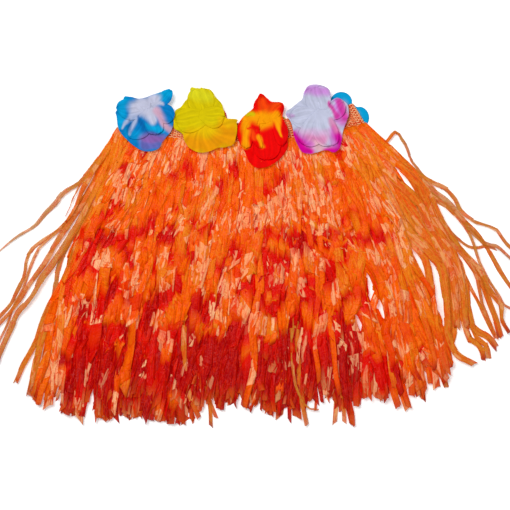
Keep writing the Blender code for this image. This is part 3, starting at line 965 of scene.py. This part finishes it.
def ribbon_row(number, material):
    """One row of crumpled ribbons, as one joined mesh."""
    row = ROWS[number]
    rng = np.random.default_rng(row.seed)
    place, steps, across = fan_lines(row, rng, facet_stations(rng, row.count))
    placed, sizes = strand_lines(number, rng)
    place = np.concatenate([place, placed[..., :2]])
    along = np.concatenate([steps, placed[..., 2]])
    share = np.concatenate([steps / steps[:, -1:], placed[..., 2]])
    count, stations = share.shape
    loose = np.concatenate([np.zeros(row.count), np.ones(len(placed))])[:, None]
    clear = np.concatenate([np.zeros(row.count), sizes[:, 2]])[:, None]
    length = np.concatenate([np.full(row.count, RIBBON_LENGTH), sizes[:, 3]])[:, None]
    travelled = share * length
    gathered = eased(share, 0.0, 0.08)

    # How crumpled each ribbon is, how it kinks sideways, rolls and folds, and how it goes up and down
    ahead, beside = ahead_and_beside(np.gradient(place, axis=1))
    crumple = rng.uniform(0.4, 1.15, (count, 1))
    crumple[rng.uniform(0, 1, count) < SMOOTH_ONES] *= 0.3
    crumple *= 1 - 0.8 * loose
    kinks = at_ends(rng.normal(0, KINK, (count, FACETS + 1))) * crumple * gathered
    place = place + kinks[..., None] * beside
    facet_roll = rng.normal(0, ROLL, (count, FACETS))
    facet_roll[rng.uniform(0, 1, (count, FACETS)) < 0.12] *= 2.4
    roll = np.clip(per_facet(facet_roll) * crumple, -1.25, 1.25)
    roll += waves(rng, count, travelled, (0.22,), 0.06, 0.2) * (1 + 1.2 * loose)
    roll *= gathered
    fold = per_facet(rng.normal(0, FOLD, (count, FACETS))) * crumple * gathered
    zigzag = at_ends(rng.normal(0, ZIGZAG, (count, FACETS + 1)))
    sinks = rng.uniform(-0.9 * MM, 0.3 * MM, (count, FACETS))
    zigzag[:, MARKS - 1::MARKS] += sinks
    zigzag *= crumple * gathered

    # How high it lies in the pile
    pile = dict(zip(Station._fields, PILE.T))
    floor = np.interp(along, pile["along"], pile["floor"])
    top = np.interp(along, pile["along"], pile["top"])
    clump = 1 + 0.08 * np.sin(place[..., 0] / 0.031 + place[..., 1] / 0.4 + 1.3)
    # How deep it lies sets both how far it sinks and how much painted red shade it gets
    depth = depth_at(place) * (1 - loose * (1 - 0.35 * (1 - clear)))
    own_depth = rng.uniform(0.7, 1.2, (count, 1))
    own_depth[rng.uniform(0, 1, count) < BRIGHT_ONES] = 0.2
    depth = np.clip(depth * own_depth, 0, 1)
    in_pile = np.clip(row.place + rng.uniform(-0.11, 0.10, (count, 1)), 0.04, 1)
    height = floor + (top - floor) * clump * (1 - 0.4 * depth) * in_pile * (1 - 0.35 * loose)
    height += zigzag
    height += waves(rng, count, travelled, (0.8 * MM,), 0.05, 0.16) * gathered

    width = ribbon_widths(rng, along, share, sizes)
    middle = np.concatenate([place, height[..., None]], axis=-1)
    points, reach_out = ribbon_points(
        rng, middle, ahead, beside, roll, fold, width, crumple * gathered, gathered,
    )
    piece, quads = grid_mesh(row.name.replace("fringe", "ribbons"), points, material)

    # Where its facets get painted highlights, where its creases get painted shade, and its colour
    facet_place = place[:, 1::MARKS]
    glare = per_facet(facet_glare(rng, facet_place, depth[:, 1::MARKS], loose))
    glare *= (0.6 + 0.4 * np.clip(crumple, 0, 1)) * (1 - 0.3 * loose)
    # Painted shade at the creases between facets, which also takes away their painted highlight
    crease_shade = np.zeros((count, stations))
    crease_shade[:, MARKS - 1:-1:MARKS] = rng.uniform(-0.2, 1.0, (count, FACETS - 1))
    crease_shade = np.clip(crease_shade, 0, 1) * crumple * gathered
    glare *= 1 - crease_shade
    tone = 1.1 * (patchy(facet_place, (26 * MM, 60 * MM), 5) - 0.5) + rng.normal(0, 0.3, (count, FACETS))
    rim = 1 - eased(np.minimum(across - FAN_LEFT, FAN_RIGHT - across), 0.0, 0.07)
    rim = np.concatenate([rim, np.ones(len(placed))])[:, None]
    thin = loose * (0.4 + 0.6 * clear)
    colours = ribbon_colours(rng, share, depth, per_facet(tone), crease_shade, rim, thin)
    carry_colour(piece, np.repeat(colours[:, :, None], COLUMNS, axis=2))
    carry_value(piece, "glare", np.repeat(glare[:, :, None], COLUMNS, axis=2))
    see_through = np.clip(clear * eased(share, 0.25, 0.5) + 0.5 * eased(share, 0.95, 1.0), 0, 1)
    carry_value(piece, "see_through", np.repeat(see_through[:, :, None], COLUMNS, axis=2))
    films = np.empty((*points.shape[:3], 2))
    films[..., 0] = reach_out + (np.arange(count) * 0.013)[:, None, None]
    films[..., 1] = (travelled + rng.uniform(0, 1, (count, 1)))[..., None]
    carry_film_places(piece, films, quads)
    piece.data.set_sharp_from_angle(angle=SHARP_EDGE)
    give_wall(piece, FILM_WALL)
    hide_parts(row.name)
    return piece


def ribbon_colours(rng, share, depth, tone, crease_shade, rim, thin):
    """The film's colour at each station: orange, with painted red shade down in the pile, in creases and near
    the hem.
    """
    kind = 0.5 + 0.5 * tone + rng.normal(0, 0.22, (len(share), 1)) + 0.35 * rim
    light = eased(kind, 0.55, 1.0)[..., None]
    dark = eased(-kind, -0.30, 0.10)[..., None]
    base = mixed(mixed(FILM_ORANGE, FILM_LIGHT, light), FILM_RED, 0.7 * dark)
    lightly_shaded = mixed(base, FILM_RED, eased(depth, 0.05, 0.55)[..., None])
    colour = mixed(lightly_shaded, FILM_DEEP_SHADE, eased(depth, 0.5, 1.0)[..., None])
    colour = mixed(colour, FILM_RED, (0.8 * crease_shade * (1 - depth))[..., None])
    colour = mixed(colour, FILM_LOOSE, (0.85 * thin * eased(share, 0.15, 0.4))[..., None])
    kind = rng.uniform(0, 1, (len(share), 1, 1))
    tip = mixed(FILM_BROWN, FILM_TIP, eased(kind, 0.15, 0.5))
    tip = mixed(tip, FILM_TAN, 0.8 * eased(kind, 0.76, 1.0))
    tip_from = rng.uniform(0.925, 0.98, (len(share), 1))
    return mixed(colour, tip, 0.85 * eased(share, tip_from, 0.995)[..., None])


# Waistband

LOOP_RADIUS = (band_low.z + band_high.z - back_low.z - back_high.z) / 4
BAND_MIDDLE_HEIGHT = (band_high.z + back_low.z) / 2
BAND_LENGTH = 2 * BAND_FOOT.half_width
SECTION_STEPS = 60
FOLD_STEPS = 8
GROUND_STEPS = (260, 9)
GROUND_UNDER_KNIT = 0.55 * MM
GROUND_WALL = 0.5 * MM
COURSES = 7
WALES = 104
YARN_RADIUS = 0.55 * MM
YARN_SIDES = 4
YARN_STEPS = 14


def loop_section():
    """The pressed band seen from its end: columns across, height, and the two parts of outward."""
    inset = LOOP_RADIUS / BAND_LENGTH
    run = np.linspace(inset, 1 - inset, SECTION_STEPS)
    turn = np.linspace(0, math.pi, FOLD_STEPS)[1:-1]
    front = [(across, LOOP_RADIUS, 0, 1) for across in run]
    right = [
        (1 - inset + inset * math.sin(a), LOOP_RADIUS * math.cos(a), math.sin(a), math.cos(a))
        for a in turn
    ]
    back = [(across, -LOOP_RADIUS, 0, -1) for across in run[::-1]]
    left = [
        (inset - inset * math.sin(a), -LOOP_RADIUS * math.cos(a), -math.sin(a), -math.cos(a))
        for a in turn
    ]
    return np.array(front + right + back + left + front[:1])


SECTION = loop_section()
SECTION_RUN = np.concatenate([
    [0],
    np.cumsum(np.hypot(np.diff(SECTION[:, 0]) * BAND_LENGTH, np.diff(SECTION[:, 1]))),
])


def band_surface(round_share, depth, outward):
    """Places on the band: share of the way round the loop, depth below its top, and height off it."""
    run = (round_share % 1) * SECTION_RUN[-1]
    across, height, out_x, out_z = (np.interp(run, SECTION_RUN, column) for column in SECTION.T)
    across = across + outward * out_x / BAND_LENGTH
    plan = band_plan(across, depth)
    level = BAND_MIDDLE_HEIGHT + height + outward * out_z
    return np.concatenate([plan, level[..., None]], axis=-1)


def band_ground(material):
    """The band's thin ground, one loop of cloth pressed flat."""
    round_share, depth = np.meshgrid(
        np.linspace(0, 1, GROUND_STEPS[0], endpoint=False),
        np.linspace(0.8 * MM, BAND_HEIGHT - 0.4 * MM, GROUND_STEPS[1]),
    )
    points = band_surface(round_share, depth, np.full(depth.shape, -GROUND_UNDER_KNIT))
    piece, _ = grid_mesh("waistband_ground", points[None], material, wrap=True)
    give_wall(piece, GROUND_WALL)
    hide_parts("waistband_front", "waistband_back")
    return piece


def band_knit(material):
    """The openwork knit on the ground: courses of looped yarn that hook into the next."""
    turns = np.linspace(0, WALES * math.tau, WALES * YARN_STEPS, endpoint=False)
    pitch = SECTION_RUN[-1] / WALES
    course = (BAND_HEIGHT - 3.0 * MM) / COURSES
    rng = np.random.default_rng(5)
    yarns = []
    for number in range(COURSES):
        slack = 1 + 0.12 * np.sin(turns / 9 + number)
        run = turns / math.tau * pitch + 0.24 * pitch * np.sin(2 * turns) * slack
        drop = 1.6 * MM + course * (number + 0.5) - 0.86 * course * np.cos(turns) * slack
        out = 0.15 * MM + 0.42 * MM * np.cos(2 * turns) + rng.normal(0, 0.05 * MM, len(turns))
        yarns.append(np.stack([run, drop, out], axis=-1))
    yarns = np.array(yarns)
    yarns[..., 1] = np.clip(yarns[..., 1], 0.6 * MM, BAND_HEIGHT - 0.3 * MM)
    ahead = np.roll(yarns, -1, axis=1) - np.roll(yarns, 1, axis=1)
    ahead[:, [0, -1]] = ahead[:, [1, -2]]
    ahead /= np.linalg.norm(ahead, axis=-1, keepdims=True)
    flat_side = np.cross(ahead, (0, 0, 1))
    flat_side /= np.linalg.norm(flat_side, axis=-1, keepdims=True)
    lifted = np.cross(flat_side, ahead)
    angles = np.arange(YARN_SIDES) * math.tau / YARN_SIDES
    tube = (
        yarns[:, :, None]
        + flat_side[:, :, None] * (np.cos(angles) * YARN_RADIUS * 1.35)[:, None]
        + lifted[:, :, None] * (np.sin(angles) * YARN_RADIUS * 0.8)[:, None]
    )
    tube = np.concatenate([tube, tube[:, :1] + (SECTION_RUN[-1], 0, 0)], axis=1)
    points = band_surface(tube[..., 0] / SECTION_RUN[-1], tube[..., 1], tube[..., 2])
    piece, quads = grid_mesh("waistband_knit", points, material, wrap=True)
    films = np.empty((*points.shape[:3], 2))
    films[..., 0] = angles * YARN_RADIUS
    films[..., 1] = (np.arange(points.shape[1]) * pitch / 5)[:, None]
    carry_film_places(piece, films, quads)
    close_seams(piece, 0.001 * MM)
    return piece


# Flowers

PETAL_WALL = 0.26 * MM
BACK_PETAL_WALL = 0.5 * MM
BACK_SEAT = 0.55 * MM
FRONT_SEAT = band_high.z + SEAM_GAP
CUP_HEIGHT = 6.0 * MM
CUP_RADIUS = 40 * MM
CUP_CURVE = 1.6
RUFFLE = 1.1 * MM
SPOKES = 144
RINGS = 28
INNER_GAP = 0.55 * MM
OUTER_GAP = 0.5 * MM
PETAL_STEP = 0.3 * MM
WIDEST = 0.62
VEIN_SHADING = 0.13
VEIN_RELIEF = 0.14 * MM

# An outline's points go round a flower's middle, as angle in degrees and reach in pixels
Flower = namedtuple("Flower", "name px py waves base outline strokes petals")
Stroke = namedtuple("Stroke", "from_px from_py to_px to_py width_px end_px colour strength")
Petal = namedtuple("Petal", "root_px root_py tip_px tip_py half_px rise bend point")

BLUE = srgb(0, 116, 184)
TEAL = srgb(0, 152, 204)
NAVY_SHADE = srgb(0, 88, 156)
PALE_LILAC = srgb(184, 186, 208)
ROSE_GREY = srgb(200, 156, 178)
MAUVE = srgb(130, 92, 166)
INDIGO = srgb(96, 94, 170)
YELLOW = srgb(204, 184, 0)
LEMON = srgb(210, 206, 30)
AMBER = srgb(218, 142, 0)
GOLD = srgb(220, 176, 0)
ORANGE_YELLOW = srgb(240, 152, 0)
OLIVE = srgb(196, 190, 6)
RED = srgb(226, 0, 0)
DARK_RED = srgb(200, 0, 4)
FLAME = srgb(238, 72, 6)
GREY_LILAC = srgb(186, 190, 212)
PINK_LILAC = srgb(204, 164, 202)
LAVENDER = srgb(198, 130, 210)
VIOLET = srgb(190, 66, 184)
MAGENTA = srgb(200, 0, 144)
PINK = srgb(220, 172, 182)
ORCHID = srgb(208, 120, 168)

FLOWERS = (
    Flower(
        "flower_blue", 146.2, 121.5, 5, BLUE,
        (
            (0, 27.6), (16, 28.6), (34, 26.0), (40, 24.8), (44.5, 30.0), (49, 36.5), (52.5, 40.0), (60, 34.0),
            (72, 28.5), (92, 23.8), (110, 24.2), (124, 29.5), (131, 32.5), (137, 31.0), (143, 28.4),
            (148, 29.6), (154, 30.0), (159, 30.8), (164, 31.6), (170, 29.8), (178, 29.0), (-165, 28.5),
            (-152, 27.4), (-135, 26.5), (-115, 27.5), (-93, 30.0), (-78, 30.5), (-64, 30.0), (-52, 26.5),
            (-40, 25.5), (-20, 27.0),
        ),
        (
            Stroke(123, 99, 121, 126, 8, 5, TEAL, 0.9),
            Stroke(129, 133, 141, 137, 6, 6, TEAL, 0.6),
            Stroke(161, 96, 170, 93, 8.5, 7, TEAL, 1.0),
            Stroke(135, 107, 156, 99, 8, 7, PALE_LILAC, 1.0),
            Stroke(142, 107, 152, 111, 10, 9.5, PALE_LILAC, 1.0),
            Stroke(149, 112, 153, 121, 8.5, 5.5, PALE_LILAC, 1.0),
            Stroke(135, 111, 122, 129, 4.5, 1.5, PALE_LILAC, 0.75),
            Stroke(138, 113, 130, 134, 5, 1.8, PALE_LILAC, 0.7),
            Stroke(155, 103, 163, 104, 4.5, 2.5, PALE_LILAC, 0.9),
            Stroke(157, 111, 166, 127, 5, 4.5, ROSE_GREY, 0.9),
            Stroke(165, 126, 170, 130.5, 5, 4.5, ROSE_GREY, 0.9),
            Stroke(147, 127, 162, 130.5, 4.5, 4, TEAL, 1.0),
            # The navy strokes are painted shade in folds and under the front petal's lower edge
            Stroke(138, 117, 146, 131, 1.8, 5.0, NAVY_SHADE, 0.8),
            Stroke(129, 119, 130, 131, 1.5, 4, NAVY_SHADE, 0.5),
            Stroke(148, 133.5, 163, 134.6, 1.6, 1.3, NAVY_SHADE, 0.9),
            Stroke(146, 139.5, 162, 139.5, 8, 6, MAUVE, 1.0),
            Stroke(143, 146.5, 158, 146.5, 5, 4, INDIGO, 0.9),
        ),
        (
            Petal(151, 106, 117, 108, 10.5, 2.5, 0.08, 0.4),
            Petal(152, 107, 172, 91.5, 6.5, 4.0, -0.05, 0.5),
            Petal(153, 107, 173, 120, 9.5, 3.0, 0.04, 0.3),
            Petal(149, 110, 130, 138, 10.0, 2.0, 0.10, 0.4),
            Petal(151, 108, 156.5, 134.5, 9.5, 4.0, -0.02, -0.2),
        ),
    ),
    Flower(
        "flower_yellow", 204, 122.2, 4, YELLOW,
        (
            (0, 33.0), (4, 33.8), (8, 24.0), (14, 22.4), (30, 22.8), (46, 25.5), (58, 26.5), (67, 28.0),
            (72, 30.5), (78, 32.6), (85, 33.0), (92, 33.2), (102, 34.0), (112, 35.8), (116, 31.5),
            (122, 29.0), (133, 28.0), (147, 27.5), (158, 30.5), (166, 30.8), (180, 30.0), (-167, 30.2),
            (-158, 26.0), (-150, 24.5), (-138, 26.8), (-118, 29.8), (-95, 31.0), (-78, 30.0), (-62, 29.5),
            (-48, 33.8), (-38, 37.0), (-25, 35.5), (-12, 34.0),
        ),
        (
            Stroke(193, 93, 207, 97, 9, 8, LEMON, 0.85),
            Stroke(190, 134, 216, 130, 8, 8, GOLD, 0.8),
            Stroke(190, 143, 212, 147, 12, 12, AMBER, 1.0),
            Stroke(228, 128, 234, 142, 13, 12, AMBER, 1.0),
            Stroke(216, 142, 226, 138, 10, 10, AMBER, 1.0),
            Stroke(221, 120, 228, 124, 5, 6, GOLD, 0.7),
        ),
        (
            Petal(204, 120, 200, 89, 13.5, 1.2, 0.02, -0.3),
            Petal(209, 117, 176, 121, 12.5, 1.6, 0.04, -0.1),
            Petal(199, 114, 224, 118, 11.0, 2.0, -0.04, -0.1),
        ),
    ),
    Flower(
        "flower_red", 263, 132.7, 5, RED,
        (
            (0, 24.2), (20, 24.2), (42, 26.5), (51, 33.5), (55, 35.0), (61, 34.5), (68, 32.6), (76, 31.6),
            (84, 34.5), (91, 38.0), (95, 38.6), (99, 35.0), (105, 29.0), (113, 26.0), (130, 25.0),
            (150, 25.5), (170, 26.3), (-165, 25.5), (-150, 26.0), (-138, 26.0), (-127, 28.0), (-115, 32.5),
            (-100, 36.0), (-85, 35.0), (-68, 32.5), (-48, 30.5), (-30, 28.4), (-12, 25.0),
        ),
        (
            Stroke(262, 103, 266, 112, 6, 8, FLAME, 0.9),
            Stroke(277, 104, 271, 113, 5, 7, FLAME, 0.9),
            Stroke(252, 117.5, 276, 117, 7.5, 6.5, ORANGE_YELLOW, 1.0),
            Stroke(262, 124, 270, 123, 8, 5, ORANGE_YELLOW, 1.0),
            Stroke(246, 119, 245.5, 146, 6, 4.5, ORANGE_YELLOW, 1.0),
            Stroke(276, 115, 281, 137, 4.5, 1.2, ORANGE_YELLOW, 1.0),
            Stroke(247, 129, 258, 127.5, 1.6, 3, RED, 1.0),
            Stroke(259, 129, 259, 138, 2.6, 2, RED, 1.0),
            Stroke(252, 132, 254, 139, 3.5, 3, FLAME, 0.8),
            Stroke(258, 137, 263, 146.5, 3, 2.6, ORANGE_YELLOW, 0.95),
            Stroke(285, 120, 286, 148, 3, 4, DARK_RED, 0.6),
            Stroke(247, 115, 253, 113.5, 3, 3, OLIVE, 0.85),
        ),
        (
            Petal(262, 124, 261, 97, 8.0, 3.0, 0.00, 0.7),
            Petal(264, 122, 281, 105, 7.5, 3.5, 0.04, 0.2),
            Petal(258, 114, 245, 148, 8.5, 3.0, -0.14, -0.1),
            Petal(270, 112, 282, 146, 7.5, 3.0, 0.10, 0.2),
            Petal(268, 124, 266, 160, 13.5, 2.0, 0.02, 0.1),
            Petal(258, 124, 261, 148, 4.6, 4.5, -0.16, 0.3),
        ),
    ),
    Flower(
        "flower_purple", 320, 120, 4, GREY_LILAC,
        (
            (0, 27.0), (10, 29.0), (19, 30.0), (30, 31.0), (38, 30.2), (47, 29.0), (53, 27.6), (58, 23.5),
            (62, 20.8), (66, 25.0), (72, 30.6), (80, 33.0), (88, 34.0), (100, 35.4), (109, 35.6),
            (120, 32.0), (130, 27.5), (142, 28.0), (158, 31.0), (167, 34.8), (173, 34.4), (-178, 30.0),
            (-164, 28.6), (-150, 30.5), (-135, 33.0), (-118, 37.0), (-108, 36.0), (-96, 33.0), (-84, 31.0),
            (-76, 31.5), (-68, 35.4), (-58, 35.0), (-44, 30.0), (-30, 26.0), (-14, 25.4),
        ),
        (
            Stroke(307, 90, 326, 92, 7, 6.5, LAVENDER, 0.9),
            Stroke(300, 134, 330, 135, 7, 7, PINK_LILAC, 0.85),
            Stroke(306, 140, 322, 141, 7, 7, ORCHID, 0.85),
            Stroke(315, 146, 322, 150, 6, 6, PINK, 0.95),
            Stroke(300, 140, 312, 145, 3, 4, VIOLET, 0.45),
            Stroke(296, 134, 306, 146, 5, 9, VIOLET, 0.6),
            Stroke(293, 134, 303, 149, 3.0, 8, MAGENTA, 1.0),
            Stroke(304, 151, 311, 153, 7, 5, MAGENTA, 1.0),
            Stroke(327, 152, 337, 150, 5.5, 7, MAGENTA, 1.0),
            Stroke(334, 128, 341, 145, 4, 8, MAGENTA, 1.0),
            Stroke(332, 131, 334, 144, 4, 5.5, VIOLET, 0.6),
            Stroke(337, 120, 346, 124, 5, 6, VIOLET, 0.55),
            Stroke(335, 101, 341, 116, 6, 7, LAVENDER, 1.0),
            Stroke(339, 101, 345, 118, 4, 7.5, MAGENTA, 0.85),
            Stroke(331, 99, 334, 104, 2.5, 2.5, PALE_LILAC, 0.8),
            Stroke(328.5, 103, 337, 117, 2.2, 3.2, MAGENTA, 0.85),
            Stroke(331, 120, 336, 130, 4, 5, ORCHID, 0.8),
            Stroke(286, 115, 293, 117, 2.6, 2, VIOLET, 0.4),
        ),
        (
            Petal(321, 116, 316, 88, 13.0, 2.5, 0.00, -0.3),
            Petal(322, 115, 290, 118, 11.0, 2.5, 0.03, 0.4),
            Petal(323, 118, 343, 103, 8.5, 4.5, -0.08, 0.1),
            Petal(322, 110, 304, 145, 13.0, 2.0, 0.06, 0.0),
            Petal(322, 110, 330, 146, 12.5, 2.5, -0.04, -0.1),
        ),
    ),
)

# A flower of the back half: each petal's angle in degrees and reach, and the reach between petals, in mm
BackFlower = namedtuple("BackFlower", "name x y petals notch throat edge")
BACK_FLOWERS = (
    BackFlower(
        "flower_back_purple", -143 * MM, 168 * MM,
        ((75, 35.5), (-5, 35.5), (-80, 35.5), (-150, 35.5), (150, 35.5)), 28.5, GREY_LILAC, LAVENDER,
    ),
    BackFlower(
        "flower_back_red", -71 * MM, 168 * MM,
        ((46, 39.5), (-30, 36), (-105, 36), (-178, 36), (112, 36)), 29, ORANGE_YELLOW, RED,
    ),
    BackFlower(
        "flower_back_yellow", 18 * MM, 153 * MM,
        ((118, 38), (50, 38), (-20, 38), (-95, 38), (-168, 38)), 30.5, YELLOW, LEMON,
    ),
    BackFlower(
        "flower_back_blue", 121 * MM, 181 * MM,
        ((104, 38), (10, 32), (-55, 37.5), (-130, 37.5), (168, 37.5)), 23, PALE_LILAC, TEAL,
    ),
)


def outer_height(distance, turn, waves_round):
    """The outer petals' height over their seat, as the solids have it."""
    share = distance / CUP_RADIUS
    return CUP_HEIGHT * share**CUP_CURVE + RUFFLE * share**2 * np.sin(waves_round * turn + 1)


def outline_reach(outline, turn):
    """The reach of a closed outline at each angle, smooth through its points."""
    table = np.array(sorted(outline))
    angles = np.concatenate([table[-3:, 0] - 360, table[:, 0], table[:3, 0] + 360])
    reaches = np.concatenate([table[-3:, 1], table[:, 1], table[:3, 1]])
    degrees = (np.degrees(turn) + 180) % 360 - 180
    return through_marks(angles, reaches, np.gradient(reaches, angles) * 0.8, degrees) * PHOTO_PIXEL


def stroked(colour, places, strokes):
    """Colours with soft brush strokes of dyes and of painted fold shade laid over them, their edges bled into
    the cloth.
    """
    x, y = places[..., 0] / (5 * MM), places[..., 1] / (5 * MM)
    bleed_x = np.sin(1.3 * y + 1.9 * np.sin(1.1 * x))
    bleed_y = np.sin(1.5 * x + 1.7 * np.sin(1.2 * y))
    places = places + 0.9 * MM * np.stack([bleed_x, bleed_y], axis=-1)
    for stroke in strokes:
        start = photo_place(stroke.from_px, stroke.from_py)
        run = photo_place(stroke.to_px, stroke.to_py) - start
        share = np.clip((places - start) @ run / (run @ run), 0, 1)
        away = np.linalg.norm(places - start - share[..., None] * run, axis=-1)
        width = mixed(stroke.width_px, stroke.end_px, share) * PHOTO_PIXEL
        cover = stroke.strength * (1 - eased(away / width, 0.2, 1.2))
        colour = mixed(colour, stroke.colour, cover[..., None])
    return colour


def crumples(places, size, run):
    """Soft uneven folds over plan places."""
    x, y = places[..., 0] / run, places[..., 1] / run
    return size * (
        np.sin(x * 1.7 + 2.1 * np.sin(y * 0.9))
        + 0.7 * np.sin(y * 2.3 + 1.4 * np.sin(x * 1.3 + 1))
        + 0.5 * np.sin((x + y) * 3.1)
    )


def veins(turn, along):
    """Folds pressed into a petal from its root to its rim, from -1 to 1."""
    sweep = turn + 0.12 * np.sin(5 * along)
    lines = 0.6 * np.sin(13 * sweep + 2.2 * np.sin(3 * turn)) + 0.4 * np.sin(29 * sweep + 1)
    return lines * eased(along, 0.12, 0.5)


def dyed_and_shaded(flower, plan, vein):
    """A front flower's colours at plan places, with painted light and shade, lighter and darker along its
    veins.
    """
    colours = stroked(np.broadcast_to(flower.base, (*vein.shape, 3)), plan, flower.strokes)
    return colours * (1 + VEIN_SHADING * vein)[..., None]


def disc_plan(share, turn, reach):
    """Rings of places round a middle, out to a reach at each angle, and how far out each is."""
    distance = share * reach
    return np.stack([distance * np.cos(turn), distance * np.sin(turn)], axis=-1), distance


def disc_piece(name, plan, level, colours, material, wall):
    """A round sheet from rings of places, closed at its middle."""
    points = np.concatenate([plan, level[..., None]], axis=-1)
    piece, _ = grid_mesh(name, points[None], material, wrap=True)
    carry_colour(piece, colours)
    close_seams(piece, 0.005 * MM)
    give_wall(piece, wall)
    return piece


def outer_petals(flower, material):
    """The wide lower layer of a flower."""
    turn = np.linspace(0, math.tau, SPOKES, endpoint=False)[None]
    share = np.linspace(0, 1, RINGS)[:, None] ** 0.85
    plan, distance = disc_plan(share, turn, outline_reach(flower.outline, turn))
    plan = photo_place(flower.px, flower.py) + plan
    level = FRONT_SEAT + outer_height(distance, turn, flower.waves)
    level = level + crumples(plan, 0.45 * MM, 7 * MM) * eased(share, 0.25, 0.9)
    vein = veins(turn, share)
    level = level + VEIN_RELIEF * vein + OUTER_GAP
    colours = dyed_and_shaded(flower, plan, vein)
    piece = disc_piece(f"{flower.name}_outer_petals", plan, level, colours, material, PETAL_WALL)
    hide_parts(f"{flower.name}_outer")
    return piece


def petal_half(petal, along):
    """Half a petal's width at each share of its length: a narrow root, a wide middle and a round tip."""
    rounded = np.sqrt(np.clip(1 - ((along - WIDEST) / (1.001 - WIDEST)) ** 2, 0, 1))
    return petal.half_px * PHOTO_PIXEL * np.where(
        along < WIDEST,
        0.30 + 0.70 * np.sin(along / WIDEST * math.pi / 2),
        rounded ** (0.8 + petal.point),
    )


def petal_points(flower, petal):
    """One petal of the inner layer: its places and colours, from root to tip and side to side."""
    root = photo_place(petal.root_px, petal.root_py)
    run = photo_place(petal.tip_px, petal.tip_py) - root
    length = np.linalg.norm(run)
    way = run / length
    beside = np.array([-way[1], way[0]])
    along, side = np.meshgrid(np.linspace(0, 1, 24), np.linspace(-1, 1, 21), indexing="ij")
    half = petal_half(petal, along)
    curve = petal.bend * length * np.sin(along * math.pi)
    ripple = 0.7 * MM * np.sin(6 * side + 5 * along + petal.tip_px) + 0.4 * MM * np.sin(13 * side)
    forward = along * length + ripple * along**2
    plan = root + forward[..., None] * way + (side * half + curve)[..., None] * beside
    off = plan - photo_place(flower.px, flower.py)
    distance = np.linalg.norm(off, axis=-1)
    turn = np.arctan2(off[..., 1], off[..., 0])
    level = FRONT_SEAT + INNER_GAP + outer_height(distance, turn, flower.waves)
    level += 0.6 * petal.rise * MM * along**1.5
    level += 0.3 * MM * side**2 * eased(along, 0.1, 0.6) - 0.7 * MM * np.exp(-((side / 0.2) ** 2)) * along
    level += crumples(plan, 0.4 * MM, 6 * MM) * along
    vein = veins(0.9 * side + petal.tip_px, along)
    level += VEIN_RELIEF * vein
    return np.concatenate([plan, level[..., None]], axis=-1), dyed_and_shaded(flower, plan, vein)


def inner_petals(flower, material):
    """The upper layer of a flower, its petals overlapping round the throat."""
    made = [petal_points(flower, petal) for petal in flower.petals]
    points = np.array([place for place, _ in made])
    points[..., 2] += (np.arange(len(made)) * PETAL_STEP)[:, None, None]
    piece, _ = grid_mesh(f"{flower.name}_inner_petals", points, material)
    carry_colour(piece, np.array([colour for _, colour in made]))
    give_wall(piece, PETAL_WALL)
    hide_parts(f"{flower.name}_inner")
    return piece


def back_reach(flower, turn):
    """How far a flower of the back half reaches at each angle."""
    reach = np.full(turn.shape, flower.notch)
    for angle, length in flower.petals:
        off = (np.degrees(turn) - angle + 180) % 360 - 180
        lobe = np.cos(np.clip(off / 36, -1, 1) * math.pi / 2) ** 0.6
        reach = np.maximum(reach, mixed(flower.notch, length, lobe))
    return reach * MM


def back_petals(flower, material):
    """A flower of the back half, pressed flat under the band."""
    turn = np.linspace(0, math.tau, 96, endpoint=False)[None]
    share = np.linspace(0, 1, 16)[:, None]
    plan, _ = disc_plan(share, turn, back_reach(flower, turn))
    plan = plan + SHIFT + (flower.x, flower.y)
    level = BACK_SEAT + crumples(plan, 0.1 * MM, 6 * MM) * share
    dye = eased(share + 0.04 * np.sin(7 * turn), 0.25, 0.8)[..., None]
    colours = mixed(flower.throat, flower.edge, dye)
    piece = disc_piece(f"{flower.name}_petals", plan, level, colours, material, BACK_PETAL_WALL)
    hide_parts(flower.name)
    return piece


# All pieces, put on the one body


def seat(piece):
    """Every piece is on the one body."""
    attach(piece, "root")


def main():
    set_camera()
    set_stage()
    film = ribbon_material()
    cloth = petal_material()
    ribbons = [ribbon_row(number, film) for number in range(len(ROWS))]
    for row in ribbons:
        seat(row)
    ground = band_ground(ground_material())
    knit = band_knit(yarn_material())
    seat(ground)
    seat(knit)
    for flower in FLOWERS:
        outer = outer_petals(flower, cloth)
        inner = inner_petals(flower, cloth)
        seat(outer)
        seat(inner)
    for flower in BACK_FLOWERS:
        piece = back_petals(flower, cloth)
        seat(piece)


main()
